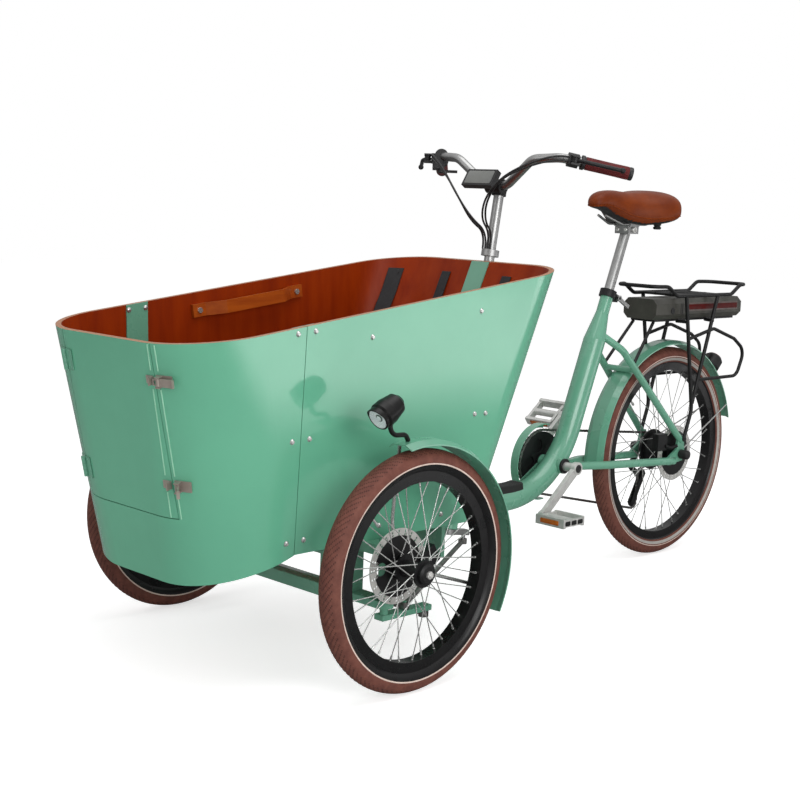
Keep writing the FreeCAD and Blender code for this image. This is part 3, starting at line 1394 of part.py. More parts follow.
cables = []
collar_top = collar_at + column_way * 16
for side, sign in SIDES:
    way, ahead, up, clamp_mid = lever_frame(side)
    for index in range(2):
        start = clamp_mid + ahead * 20 - way * (float(s.control_length) / 2 + 0.3) + up * (5 - 10 * index)
        if side == "right":
            start = clamp_mid + ahead * 26 - way * (float(s.control_length) / 2 + 0.3) + up * (5 - 10 * index)
        end = collar_top + square_way * 17.0 + vec(0, sign * (4 + 8 * index), 0) + column_way * 0.3
        points = [
            start, start - way * 34,
            vec(bar_mid.x + 78 + 6 * index, sign * (105 - 12 * index), bar_mid.z + 36 - 10 * index),
            vec(bar_mid.x + 92 - 8 * index, sign * (50 - 6 * index), bar_mid.z - 20 - 14 * index),
            vec(bar_mid.x + 70 - 8 * index, sign * (16 + 7 * index), bar_mid.z - 78 - 8 * index),
            end + column_way * 40, end,
        ]
        cables.append(tube(points, s.cable_radius))
named(feature("control_cables", Part.makeCompound(cables)), "control_cables")

# crank set, pedals, chain, cassette and derailleur


def crank_dir():
    at = math.radians(float(s.crank_angle))
    return vec(math.cos(at), 0, math.sin(at))


crank_way = crank_dir()
arm_half = float(s.crank_arm_half)
arm_thick = float(s.crank_arm_thick)
pedal_root = arm_half + arm_thick / 2
pedal_at = {}
crank_parts = [straight(crank_at - vec(0, arm_half, 0), crank_at + vec(0, arm_half, 0),
                        s.crank_axle_radius)]
for side, sign in SIDES:
    out = vec(0, sign, 0)
    tip = crank_at + crank_way * (sign * float(s.crank_length))
    low = vec(0, sign * arm_half - arm_thick / 2, 0)
    thickness = vec(0, arm_thick, 0)
    crank_parts.append(straight(crank_at + low, crank_at + low + thickness, s.crank_boss_radius))
    crank_parts.append(straight(tip + low, tip + low + thickness, s.pedal_boss_radius))
    crank_parts.append(slab(crank_at + vec(0, sign * arm_half, 0), crank_way * sign, out * sign,
                            crank_way.cross(AXIS_Y) * sign,
                            (0, -arm_thick / 2 + 1, -11), (float(s.crank_length), arm_thick / 2 - 1, 11)))
    pin_from = tip + out * pedal_root
    pin_to = pin_from + out * float(s.pedal_gap + s.pedal_width - 6)
    crank_parts.append(straight(pin_from - out * 2, pin_to, s.pedal_pin_radius))
    pedal_at[side] = pin_from + out * float(s.pedal_gap)
ring_radius = float(s.chain_pitch_radius - s.chain_half_height - s.chain_play)
ring_low = crank_at - vec(0, s.chain_line + s.chainring_thick / 2, 0)
ring = Part.makeCylinder(ring_radius, float(s.chainring_thick), ring_low, AXIS_Y)
for index in range(5):
    at = 2 * math.pi * index / 5
    ring = ring.cut(Part.makeCylinder(19, 20, ring_low + vec(46 * math.cos(at), -5, 46 * math.sin(at)),
                                      AXIS_Y))
crank_parts.append(ring)
named(feature("crankset", fused(crank_parts)), "crankset")


def pedal(side, sign, tilt):
    # an open cage about the pedal pin
    width = float(s.pedal_width)
    half = float(s.pedal_length) / 2
    tall = float(s.pedal_height) / 2
    at = pedal_at[side]
    parts = [straight(at, at + vec(0, sign * width, 0), 10)]
    frame = [((-half, 0, -tall), (-half + 9, width, tall)), ((half - 9, 0, -tall), (half, width, tall)),
             ((-half, 0, -tall + 3), (half, 9, tall - 3)), ((-half, width - 9, -tall + 3),
                                                            (half, width, tall - 3))]
    turn = FreeCAD.Rotation(AXIS_Y, tilt)
    for low, high in frame:
        parts.append(slab(at, turn.multVec(AXIS_X), AXIS_Y * sign, turn.multVec(AXIS_Z) * sign, low, high))
    bore = straight(at - vec(0, sign * 2, 0), at + vec(0, sign * (width - 5), 0),
                    s.pedal_pin_radius + s.running_clearance)
    return fused(parts).cut(bore)


named(feature("left_pedal", pedal("left", 1, 0)), "left_pedal")
named(feature("right_pedal", pedal("right", -1, float(s.right_pedal_tilt))), "right_pedal")

chain_y = -float(s.chain_line)
guide_at = rear_axle + vec(s.guide_pulley_x, chain_y, -s.guide_pulley_drop)
tension_at = rear_axle + vec(s.tension_pulley_x, chain_y, -s.tension_pulley_drop)
BELT = (
    (crank_at, float(s.chain_pitch_radius), 1), (rear_axle, float(s.cog_pitch_radius), 1),
    (guide_at, float(s.pulley_pitch_radius), -1), (tension_at, float(s.pulley_pitch_radius), 1),
)


def belt_wire(offset):
    # the chain's line round its four wheels, moved out by the offset
    rings = [(at.x, at.z, radius + way * offset, way) for at, radius, way in BELT]
    leaves = []
    for now, after in zip(rings, rings[1:] + rings[:1]):
        span = math.hypot(after[0] - now[0], after[1] - now[1])
        heading = math.atan2(after[1] - now[1], after[0] - now[0])
        heading -= math.asin((after[3] * after[2] - now[3] * now[2]) / span)
        left = (-math.sin(heading), math.cos(heading))
        points = [vec(at[0] - at[3] * at[2] * left[0], chain_y,
                      at[1] - at[3] * at[2] * left[1]) for at in (now, after)]
        leaves.append((points[0], points[1], heading))
    edges = []
    for index, (start, end, heading) in enumerate(leaves):
        edges.append(Part.LineSegment(start, end).toShape())
        wheel_now = rings[(index + 1) % len(rings)]
        leave, _, next_heading = leaves[(index + 1) % len(leaves)]
        swing = (next_heading - heading) % (2 * math.pi)
        if wheel_now[3] < 0:
            swing -= 2 * math.pi
        half_way = heading + swing / 2
        middle = vec(wheel_now[0] + wheel_now[3] * wheel_now[2] * math.sin(half_way), chain_y,
                     wheel_now[1] - wheel_now[3] * wheel_now[2] * math.cos(half_way))
        edges.append(Part.Arc(end, middle, leave).toShape())
    return Part.Wire(edges)


chain_low = -float(s.chain_width) / 2
outer_face = Part.Face(belt_wire(float(s.chain_half_height)))
inner_face = Part.Face(belt_wire(-float(s.chain_half_height)))
chain_face = outer_face.cut(inner_face)
chain_face.translate(vec(0, chain_low, 0))
named(feature("chain", chain_face.extrude(vec(0, s.chain_width, 0)).Solids[0]), "chain")

cog_mid = s.cog_pitch_radius - s.chain_half_height - s.chain_play
cog_low = s.cog_step * 2 + s.cog_thick / 2
cog_outline = [(s.rear_axle_radius + s.running_clearance, 0)]
core = s.hub_shell_radius
for index in range(5):
    radius = cog_mid + (index - 2) * s.cog_rise
    base = index * s.cog_step
    cog_outline += [(core if index else radius, base), (radius, base)] if index else [(radius, base)]
    cog_outline += [(radius, base + s.cog_thick), (core, base + s.cog_thick)]
cog_outline.pop()
cog_outline += [(s.rear_axle_radius + s.running_clearance, 4 * s.cog_step + s.cog_thick)]
named(turned("cassette", cog_outline, (rear_x, -s.chain_line - cog_low, rear_z), TO_LEFT), "cassette")

pulley_radius = float(s.pulley_pitch_radius - s.chain_half_height - s.chain_play)
cage_out = chain_y - float(s.chain_width) / 2 - 2.0
cage_in = chain_y + float(s.chain_width) / 2 + 2.0
mech = []
for at in (guide_at, tension_at):
    mech.append(straight(vec(at.x, cage_out - 2, at.z), vec(at.x, cage_in + 2, at.z), 4))
    mech.append(straight(vec(at.x, chain_y - 2, at.z), vec(at.x, chain_y + 2, at.z), pulley_radius))
cage_way = unit(tension_at - guide_at)
cage_side = vec(cage_way.z, 0, -cage_way.x)
cage_span = (tension_at - guide_at).Length
for y_low in (cage_out - 2, cage_in):
    base = vec(guide_at.x, y_low, guide_at.z)
    mech.append(slab(base, cage_side, AXIS_Y, cage_way, (-8, 0, -8), (8, 2, cage_span + 8)))
hanger_at = vec(float(rear_x) + 14, -half_drop, float(rear_z) - 26)
mech.append(straight(vec(guide_at.x, cage_out - 14, guide_at.z), vec(guide_at.x, cage_out - 1, guide_at.z),
                     11))
mech.append(tube([vec(guide_at.x, cage_out - 9, guide_at.z), vec(guide_at.x + 24, -half_drop - 8,
                                                                 guide_at.z + 22),
                  vec(hanger_at.x, -half_drop - 9, hanger_at.z)], 8, 12))
mech.append(straight(vec(hanger_at.x, -half_drop - 14, hanger_at.z), vec(hanger_at.x, -half_drop - 4,
                                                                         hanger_at.z), 9))
mech_shape = feature("mech_shape", fused(mech))
named(cut("derailleur", mech_shape, nodes["main_frame"]), "derailleur")

# hoop round the chain wheel, held by a strut from the bottom bracket
guard_outer_radius = s.guard_radius
guard_outline = [
    (guard_outer_radius - 14, 0), (guard_outer_radius, 0), (guard_outer_radius, s.guard_depth),
    (guard_outer_radius - s.guard_thick, s.guard_depth), (guard_outer_radius - s.guard_thick,
                                                          s.guard_thick),
    (guard_outer_radius - 14, s.guard_thick),
]
guard_turn = FreeCAD.Rotation(AXIS_Y, 97).multiply(TO_RIGHT)
hoop_outline = [(radius, s.guard_depth - height) for radius, height in reversed(guard_outline)]
hoop = turned("guard_hoop", hoop_outline, (front_x - s.crank_setback, -s.bracket_width / 2, s.crank_z),
              guard_turn, 200)
strut_way = vec(math.cos(math.radians(-30)), 0, math.sin(math.radians(-30)))
strut = feature("guard_strut", slab(crank_at + vec(0, -s.bracket_width / 2 - 3, 0), strut_way, AXIS_Y,
                                    strut_way.cross(AXIS_Y),
                                    (float(s.bracket_radius) - 6, 0, -9), (float(s.guard_radius) - 1, 3,
                                                                           9)))
named(joined("chain_guard", hoop, strut), "chain_guard")

# saddle, post and clamp

post_low = seat_point(s.post_low_z)
post_top = seat_point(s.post_top_z)
head_block = Part.makeBox(46, 46, 22, vec(post_top.x - 26, -23, float(s.post_top_z) - 8))
rails = []
rail_z_seat = float(s.post_top_z) + 18
for side, sign in SIDES:
    rails.append(tube([vec(post_top.x - 96, sign * 30, rail_z_seat + 14), vec(post_top.x - 60, sign * 22,
                                                                              rail_z_seat),
                       vec(post_top.x + 50, sign * 22, rail_z_seat), vec(post_top.x + 112, sign * 12,
                                                                         rail_z_seat + 22)],
                      s.saddle_rail_radius, 30))
post_parts = [straight(post_low, post_top, s.post_radius), head_block]
post_parts.append(Part.makeBox(40, 56, 10, vec(post_top.x - 22, -28, float(s.post_top_z) + 12)))
named(feature("seatpost", fused(post_parts + rails)), "seatpost")

nose_x = float(front_x - s.saddle_nose_setback)
long = float(s.saddle_length)
wide = float(s.saddle_width) / 2
narrow = float(s.saddle_nose_width) / 2
deep = float(s.saddle_depth)
top = float(s.saddle_top_z)
# stations as (share of the length from the nose, half width, top drop, depth share)
STATIONS = (
    (0.0, narrow * 0.45, 30.0, 0.3), (0.05, narrow * 0.8, 15.0, 0.46), (0.2, narrow * 1.1, 3.0, 0.56),
    (0.44, narrow * 1.75, 6.0, 0.84), (0.68, wide * 0.84, 2.0, 0.95), (0.86, wide, 0.0, 0.9),
    (1.0, wide * 0.72, 22.0, 0.6),
)


def saddle_section(share, half, drop_down, depth):
    x = nose_x - share * long
    high = top - drop_down
    low = high - deep * depth
    waist = low + (high - low) * 0.55
    left_low = vec(x, half * 0.8, low)
    left_mid = vec(x, half, waist)
    left_top = vec(x, half * 0.72, high - (high - low) * 0.12)
    edges = [
        Part.LineSegment(mirrored(left_low), left_low).toShape(),
        Part.Arc(left_low, left_mid, left_top).toShape(),
        Part.Arc(left_top, vec(x, 0, high), mirrored(left_top)).toShape(),
        Part.Arc(mirrored(left_top), mirrored(left_mid), mirrored(left_low)).toShape(),
    ]
    return Part.Wire(edges)


saddle_raw = Part.makeLoft([saddle_section(*station) for station in STATIONS], True, False)
rail_room = fused([tube([vec(post_top.x - 96, sign * 30, rail_z_seat + 14), vec(post_top.x - 60, sign * 22,
                                                                                rail_z_seat),
                         vec(post_top.x + 50, sign * 22, rail_z_seat), vec(post_top.x + 112, sign * 12,
                                                                           rail_z_seat + 22)],
                        s.saddle_rail_radius + 0.3, 30) for side, sign in SIDES])
named(feature("saddle", saddle_raw.cut(rail_room)), "saddle")

collar_low = seat_point(s.seat_tube_top_z) - seat_way * float(s.collar_height)
collar_ring = straight(collar_low, collar_low + seat_way * float(s.collar_height), s.collar_radius)
ear_back = seat_way.cross(AXIS_Y)
ears = slab(collar_low, ear_back, AXIS_Y, seat_way, (0, -9, 0), (float(s.collar_radius) + 17, 9,
                                                                 float(s.collar_height)))
collar_hole = straight(collar_low - seat_way * 5, collar_low + seat_way * 40,
                       s.seat_tube_radius + s.collar_clearance)
lever_pin_at = collar_low + ear_back * (float(s.collar_radius) + 10) + vec(0, 9, 0)
lever_pin_at = lever_pin_at + seat_way * (float(s.collar_height) / 2)
lever_pin = straight(lever_pin_at - vec(0, 4, 0), lever_pin_at + vec(0, 12, 0), 4)
named(feature("seat_clamp", fused([collar_ring, ears, lever_pin]).cut(collar_hole)), "seat_clamp")
lever_hole = straight(lever_pin_at - vec(0, 2, 0), lever_pin_at + vec(0, 20, 0),
                      4 + float(s.running_clearance))
lever_hub = straight(lever_pin_at + vec(0, 0.5, 0), lever_pin_at + vec(0, 11, 0), 8)
lever_arm = slab(lever_pin_at, unit(vec(-1, 0, -0.55)), AXIS_Y, unit(vec(-0.55, 0, 1)),
                 (0, 2, -5), (float(s.clamp_lever_length), 9, 5))
named(feature("clamp_lever", fused([lever_hub, lever_arm]).cut(lever_hole)), "clamp_lever")

# rear mudguard, tail lamp and rear caliper

rear_centre = (rear_x, measure(0), rear_z)
rear_guard = mudguard("rear_guard_strip", rear_centre, s.rear_wheel_radius, s.rear_fender_start,
                      s.rear_fender_sweep)
wires = []
for side, sign in SIDES:
    low = rear_axle + vec(-10, sign * half_drop, 8)
    high = fender_point(rear_centre, s.rear_wheel_radius, 158, sign * (float(s.fender_width) / 2 - 2),
                        -float(s.fender_thick) / 2)
    wires.append(straight(low, high, 2.2))
wire_raw = feature("fender_wires_raw", Part.makeCompound(wires))
wire_cut = cut("fender_wires", wire_raw, nodes["main_frame"])
named(joined("rear_fender", rear_guard, wire_cut), "rear_fender")

lamp_at = math.radians(float(s.tail_lamp_angle))
lamp_out = vec(math.cos(lamp_at), 0, math.sin(lamp_at))
lamp_seat = rear_axle + lamp_out * (guard_edge - 2)
lamp_turn = FreeCAD.Rotation(AXIS_Z, lamp_out)
tail_outline = [
    (0, 0), (s.tail_lamp_radius * 0.8, 0), (s.tail_lamp_radius, 8),
    (s.tail_lamp_radius, s.tail_lamp_depth - 6),
    (s.tail_lamp_radius - 5, s.tail_lamp_depth), (0, s.tail_lamp_depth),
]
tail_raw = turned("tail_shell", tail_outline, (lamp_seat.x, measure(0), lamp_seat.z), lamp_turn)
named(cut("tail_light", tail_raw, nodes["rear_fender"]), "tail_light")

rear_disc_y = s.disc_offset + s.disc_thick / 2
rear_shell = block("rear_caliper_shell", (rear_x + 52, rear_disc_y - 10, rear_z + 14), (44, 20, 48))
rear_slot = rod("rear_caliper_slot", (rear_x, rear_disc_y - 2.5, rear_z), s.disc_radius + 3, 5, TO_LEFT)
rear_caliper_cut = cut("rear_caliper_cut", rear_shell, rear_slot)
rear_arm = feature("rear_caliper_arm", tube([vec(rear_x + 60, rear_disc_y + 9, rear_z + 26),
                                             vec(rear_x + 40, half_drop - 3, rear_z + 20),
                                             vec(rear_x + 14, half_drop, rear_z + 24)], 5, 12))
rear_arm_cut = cut("rear_arm_cut", rear_arm, joined("rear_arm_room", nodes["main_frame"], rear_slot))
named(joined("rear_caliper", rear_caliper_cut, rear_arm_cut), "rear_caliper")

# rack over the rear wheel, with the battery on its tray

deck_z = float(s.rack_deck_z)
rack_half = float(s.rack_half)
loop_z = deck_z + float(s.rack_loop_rise)
front_end = float(front_x - s.rack_front)
rear_end = float(front_x - s.rack_rear)
leg_front = float(front_x - s.rack_leg_front)
leg_rear = float(front_x - s.rack_leg_rear)
middle_x = (leg_front + leg_rear) / 2
rack_parts = []
for end_x, way in ((front_end, 1), (rear_end, -1)):
    half_loop = [vec(middle_x, rack_half, deck_z), vec(end_x - way * 92, rack_half, deck_z),
                 vec(end_x - way * 48, rack_half, loop_z), vec(end_x, rack_half - 12, loop_z)]
    rack_parts.append(tube(half_loop + [mirrored(point) for point in reversed(half_loop)],
                           s.rack_tube_radius, 32))
for x in (leg_front, leg_rear):
    rack_parts.append(straight(vec(x, -rack_half, deck_z), vec(x, rack_half, deck_z), 4.5))
for y in (-26, 26):
    rack_parts.append(straight(vec(leg_front + 8, y, deck_z), vec(leg_rear - 8, y, deck_z), 4.5))
tray_mid = float(s.tray_z) - 1
foot = vec(float(rear_x) - 6, 0, float(rear_z) + 44)
for side, sign in SIDES:
    leg_y = sign * rack_half
    rack_parts.append(tube([vec(leg_front, leg_y, deck_z), vec(leg_front - 62, leg_y, 430),
                            vec(foot.x, leg_y, foot.z)],
                           s.rack_tube_radius, 60))
    rack_parts.append(straight(vec(leg_rear, leg_y, deck_z), vec(leg_front - 62, leg_y, 448),
                               s.rack_tube_radius))
    hoop_points = [vec(leg_front - 24, leg_y, 636), vec(leg_front - 150, leg_y, 662),
                   vec(leg_front - 262, leg_y, 628),
                   vec(leg_front - 322, leg_y, 590), vec(leg_front - 288, leg_y, 516),
                   vec(leg_front - 88, leg_y, 516)]
    rack_parts.append(tube(hoop_points, s.rack_tube_radius - 0.5, 34))
    rack_parts.append(straight(vec(foot.x, leg_y + sign * 4, foot.z), vec(foot.x, sign * (half_drop + 4),
                                                                          foot.z), 8))
    for x in (leg_front, leg_rear):
        rack_parts.append(straight(vec(x + (0 if x == leg_rear else -14), sign * 36, tray_mid),
                                   vec(x + (18 if x == leg_rear else -14), leg_y, tray_mid), 4.5))
tray = Part.makeBox(float(s.battery_length) - 30, 2 * float(s.tray_half), float(s.tray_thick),
                    vec(float(front_x - s.battery_front - s.battery_length) + 15, -s.tray_half, s.tray_z))
rack_parts.append(tray)
for side, sign in SIDES:
    rack_parts.append(straight(vec(float(front_x - s.battery_front) - 20, sign * 34, tray_mid),
                               vec(bridge_at.x + 6, sign * (abs(bridge_at.y) - 4), bridge_at.z + 16), 4.5))
rack_raw = feature("rack_raw", fused(rack_parts))
named(cut("rack", rack_raw, nodes["main_frame"]), "rack")

edge = s.battery_edge
battery_low = s.tray_z + s.tray_thick + s.battery_gap
battery_outline = [
    (edge, 0), (2 * s.battery_half - edge, 0), (2 * s.battery_half, edge),
    (2 * s.battery_half, s.battery_height - edge),
    (2 * s.battery_half - edge, s.battery_height), (edge, s.battery_height), (0, s.battery_height - edge),
    (0, edge),
]
battery_turn = FreeCAD.Rotation(FreeCAD.Matrix(0, 0, 1, 0, 1, 0, 0, 0, 0, 1, 0, 0, 0, 0, 0, 1))
battery_at = (front_x - s.battery_front - s.battery_length, -s.battery_half, battery_low)
named(padded("battery", battery_outline, s.battery_length, battery_at, battery_turn), "battery")

doc.recompute()

problems = []
for thing in doc.Objects:
    if "Invalid" in thing.State or "Error" in thing.State:
        problems.append(f"{thing.Name}: {thing.State}")
for label, thing in nodes.items():
    if thing.Shape.isNull() or not thing.Shape.isValid() or not thing.Shape.Solids:
        problems.append(f"{label}: empty or unsound shape")
if problems:
    raise SystemExit("\n".join(problems))

os.makedirs("parts", exist_ok=True)
for label, thing in nodes.items():
    thing.Shape.exportStep(f"parts/{label}.step")
print(len(nodes), "parts written")
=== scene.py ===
import math

import bmesh
import bpy
from mathutils import Matrix, Vector
from mathutils.bvhtree import BVHTree


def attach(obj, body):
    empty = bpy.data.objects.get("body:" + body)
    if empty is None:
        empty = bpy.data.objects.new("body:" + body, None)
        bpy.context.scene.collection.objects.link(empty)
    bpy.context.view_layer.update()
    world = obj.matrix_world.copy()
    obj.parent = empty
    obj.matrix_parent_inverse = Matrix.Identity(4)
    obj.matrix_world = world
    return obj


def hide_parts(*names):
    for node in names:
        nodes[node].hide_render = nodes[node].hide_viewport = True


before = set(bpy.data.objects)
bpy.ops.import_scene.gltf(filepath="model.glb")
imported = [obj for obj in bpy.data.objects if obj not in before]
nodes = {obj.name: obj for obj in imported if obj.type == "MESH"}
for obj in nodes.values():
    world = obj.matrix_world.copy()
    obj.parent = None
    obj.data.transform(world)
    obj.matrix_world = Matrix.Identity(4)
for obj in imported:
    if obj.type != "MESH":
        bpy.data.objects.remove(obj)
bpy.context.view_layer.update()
scene = bpy.context.scene
print("frame:", len(nodes), "nodes")

frontX = 627.35  # the front axle, in mm as all sizes below
rearX = frontX - 1426.0
wheelAt = {"left": (frontX, 402.5, 253.5), "right": (frontX, -402.5, 253.5), "rear": (rearX, 0.0, 303.5)}
crankAt = (frontX - 934.0, 314.0)
sides = (("left", 1), ("right", -1))
fullTurn = 2 * math.pi
upWay = Vector((0, 0, 1))
leftWay = Vector((0, 1, 0))


def mm(x, y, z):
    return Vector((x, y, z)) * 0.001


def across(axis):
    side = axis.orthogonal().normalized()
    return side, axis.cross(side).normalized()


def circle(middle, one, two, radius, count):
    # points round a middle in metres, the radius in mm
    ring = []
    for k in range(count):
        turn = fullTurn * k / count
        ring.append(middle + (one * math.cos(turn) + two * math.sin(turn)) * radius * 0.001)
    return ring


def skin(rings, loop=False):
    # quads between rings of points, with both ends closed unless it is a loop
    count = len(rings[0])
    verts = [point for ring in rings for point in ring]
    faces = []
    for i in range(len(rings) if loop else len(rings) - 1):
        low = i * count
        high = (i + 1) % len(rings) * count
        for k in range(count):
            after = (k + 1) % count
            faces.append((low + k, low + after, high + after, high + k))
    if not loop:
        faces.append(tuple(range(count - 1, -1, -1)))
        faces.append(tuple(range(len(verts) - count, len(verts))))
    return verts, faces


def gather(parts):
    # several skins as one
    verts = []
    faces = []
    for partVerts, partFaces in parts:
        faces += [tuple(index + len(verts) for index in face) for face in partFaces]
        verts += partVerts
    return verts, faces


def lathe(profile, origin, axis, count=32, loop=False):
    # a turned shape, from its (radius, height) points
    side, other = across(axis)
    rings = []
    for radius, height in profile:
        rings.append(circle(origin + axis * height * 0.001, side, other, max(radius, 0.02), count))
    return skin(rings, loop)


def boltRim(radius, length, sunk=0.5):
    return [(radius, -sunk), (radius, length - 1), (radius - 1, length)]


def pipe(points, radius, count=10):
    # a round tube through points in metres
    rings = []
    normal = None
    for i, point in enumerate(points):
        way = (points[min(i + 1, len(points) - 1)] - points[max(i - 1, 0)]).normalized()
        normal = way.orthogonal() if normal is None else normal
        normal = (normal - way * normal.dot(way)).normalized()
        rings.append(circle(point, normal, way.cross(normal), radius, count))
    return skin(rings)


def plate(origin, along, wide, length, width, thick, corner, edge=0.6, steps=5):
    # a plate on origin with round corners and a softened upper rim
    up = along.cross(wide).normalized()
    rings = []
    for height, inset in ((0, 0), (thick - edge, 0), (thick - edge * 0.3, edge * 0.3), (thick, edge)):
        ring = []
        for quarter in range(4):
            signX = 1 if quarter in (0, 3) else -1
            signY = 1 if quarter in (0, 1) else -1
            for k in range(steps + 1):
                turn = math.pi / 2 * (quarter + k / steps)
                x = signX * (length / 2 - corner) + math.cos(turn) * (corner - inset)
                y = signY * (width / 2 - corner) + math.sin(turn) * (corner - inset)
                ring.append(origin + (along * x + wide * y + up * height) * 0.001)
        rings.append(ring)
    return skin(rings)


def addPiece(name, shape, body, looks, crease=35, picks=None):
    # looks is a surface's name, or several names with a pick for each face
    mesh = bpy.data.meshes.new(name)
    mesh.from_pydata(shape[0], [], shape[1])
    made = bmesh.new()
    made.from_mesh(mesh)
    bmesh.ops.recalc_face_normals(made, faces=made.faces)
    made.to_mesh(mesh)
    made.free()
    for look in (looks,) if isinstance(looks, str) else looks:
        mesh.materials.append(mats[look])
    for i, face in enumerate(mesh.polygons):
        face.use_smooth = True
        if picks:
            face.material_index = picks[i]
    mesh.set_sharp_from_angle(angle=math.radians(crease))
    obj = bpy.data.objects.new(name, mesh)
    scene.collection.objects.link(obj)
    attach(obj, body)
    return obj


def nodeMaker(tree):
    # adds shader nodes, whose inputs are given as values or as other nodes' outputs
    def node(kind, inputs=(), **marks):
        made = tree.nodes.new("ShaderNode" + kind)
        for key, value in marks.items():
            setattr(made, key, value)
        for key, value in dict(inputs).items():
            if isinstance(value, bpy.types.NodeSocket):
                tree.links.new(value, made.inputs[key])
            else:
                made.inputs[key].default_value = value
        return made

    return node


# camera, where the photo was taken from

cameraLook = {"at": (2693.35, 2397.0, 1008.0), "yaw": -135.15, "pitch": -8.01, "roll": 2.2, "lens": 65.115}


def addCamera(look):
    yaw, pitch, roll = (math.radians(look[key]) for key in ("yaw", "pitch", "roll"))
    ahead = Vector((math.cos(pitch) * math.cos(yaw), math.cos(pitch) * math.sin(yaw), math.sin(pitch)))
    level = ahead.cross(upWay).normalized()
    rise = level.cross(ahead)
    right = level * math.cos(roll) + rise * math.sin(roll)
    up = rise * math.cos(roll) - level * math.sin(roll)
    data = bpy.data.cameras.new("camera")
    data.lens = look["lens"]
    data.sensor_width = 36
    data.clip_end = 100
    obj = bpy.data.objects.new("camera", data)
    turn = Matrix((right, up, -ahead)).transposed().to_4x4()
    obj.matrix_world = Matrix.Translation(mm(*look["at"])) @ turn
    scene.collection.objects.link(obj)
    scene.camera = obj


addCamera(cameraLook)

# floor, world and soft lamps

stageLook = {
    "reach": 14.0, "floor": 0.9, "floorRough": 0.9, "floorGlow": 0.62, "floorMirror": 0.25,
    # in mirrors the floor is a ramp over y, as (y in metres, share of the gain)
    "mirrorRamp": ((1.9, 0.01), (2.7, 1.0), (4.4, 1.0), (5.6, 0.4)), "mirrorReach": 8.0, "mirrorGain": 2.3,
    "worldLight": 0.42, "mirrorSlope": {"From Min": 0.05, "From Max": 0.55, "To Min": 0.3, "To Max": 0.75},
    # name, place, aim, width, height, power
    "lamps": (
        ("topLamp", (200, 700, 3600), (0, 0, 300), 3000, 2400, 48.0),
        ("frontLamp", (3600, -900, 1900), (300, 0, 500), 1600, 2200, 10.0),
        ("leftLamp", (1500, 3900, 1700), (300, 0, 500), 2600, 1700, 62.0),
    ),
}


def floorSurface(look):
    mat = bpy.data.materials.new("floorWhite")
    mat.use_nodes = True
    tree = mat.node_tree
    node = nodeMaker(tree)
    shader = tree.nodes["Principled BSDF"]
    shader.inputs["Roughness"].default_value = look["floorRough"]
    shader.inputs["Specular IOR Level"].default_value = 0.1
    shader.inputs["Emission Color"].default_value = (1, 1, 1, 1)
    # white where it is looked at, and the shadow stays; in mirrors dim near by and bright far to the left
    path = node("LightPath").outputs
    split = node("SeparateXYZ", {0: node("NewGeometry").outputs["Position"]})
    share = node("Math", {0: split.outputs["Y"], 1: look["mirrorReach"]}, operation="DIVIDE")
    ramp = node("ValToRGB", {0: share.outputs[0]})
    marks = ramp.color_ramp.elements
    while len(marks) < len(look["mirrorRamp"]):
        marks.new(0.5)
    for mark, (y, height) in zip(marks, look["mirrorRamp"]):
        mark.position = y / look["mirrorReach"]
        mark.color = (height, height, height, 1)
    sweep = node("Math", {0: ramp.outputs[0], 1: look["mirrorGain"]}, operation="MULTIPLY")
    glow = node("Mix", {0: path["Is Glossy Ray"], 2: look["floorGlow"], 3: sweep.outputs[0]})
    seen = node("Math", {0: 1.0, 1: path["Is Diffuse Ray"]}, operation="SUBTRACT")
    shown = node("Math", {0: glow.outputs[0], 1: seen.outputs[0]}, operation="MULTIPLY")
    plain = (look["floor"],) * 3 + (1,)
    mirrored = (look["floorMirror"],) * 3 + (1,)
    tint = node("Mix", {0: path["Is Glossy Ray"], 6: plain, 7: mirrored}, data_type="RGBA")
    tree.links.new(shown.outputs[0], shader.inputs["Emission Strength"])
    tree.links.new(tint.outputs[2], shader.inputs["Base Color"])
    return mat


def addWorld(look):
    world = bpy.data.worlds.new("studio")
    world.use_nodes = True
    scene.world = world
    tree = world.node_tree
    node = nodeMaker(tree)
    path = node("LightPath").outputs
    split = node("SeparateXYZ", {0: node("TexCoord").outputs["Generated"]})
    slope = node("MapRange", {"Value": split.outputs["Z"], **look["mirrorSlope"]})
    shiny = node("Mix", {0: path["Is Glossy Ray"], 2: look["worldLight"], 3: slope.outputs[0]})
    clear = node("Math", {0: path["Is Camera Ray"], 1: path["Is Transmission Ray"]}, operation="MAXIMUM")
    seen = node("Mix", {0: clear.outputs[0], 2: shiny.outputs[0], 3: 1.0})
    back = tree.nodes["Background"]
    back.inputs["Color"].default_value = (1, 1, 1, 1)
    tree.links.new(seen.outputs[0], back.inputs["Strength"])


def addStage(look):
    reach = look["reach"]
    plane = bpy.data.meshes.new("floor")
    corners = [(-reach, -reach, 0), (reach, -reach, 0), (reach, reach, 0), (-reach, reach, 0)]
    plane.from_pydata(corners, [], [(0, 1, 2, 3)])
    plane.materials.append(floorSurface(look))
    floor = bpy.data.objects.new("floor", plane)
    scene.collection.objects.link(floor)
    addWorld(look)
    for name, at, aim, width, height, power in look["lamps"]:
        data = bpy.data.lights.new(name, "AREA")
        data.shape = "RECTANGLE"
        data.size = width * 0.001
        data.size_y = height * 0.001
        data.energy = power
        lamp = bpy.data.objects.new(name, data)
        lamp.location = mm(*at)
        lamp.rotation_euler = (mm(*aim) - mm(*at)).to_track_quat("-Z", "Y").to_euler()
        scene.collection.objects.link(lamp)
    scene.view_settings.view_transform = "Standard"


addStage(stageLook)
print("camera and stage")

# surfaces: a tint that drifts, a gloss that drifts and a fine relief


def tone(r, g, b):
    return tuple(((v / 255 + 0.055) / 1.055) ** 2.4 if v > 10 else v / 3295 for v in (r, g, b)) + (1.0,)


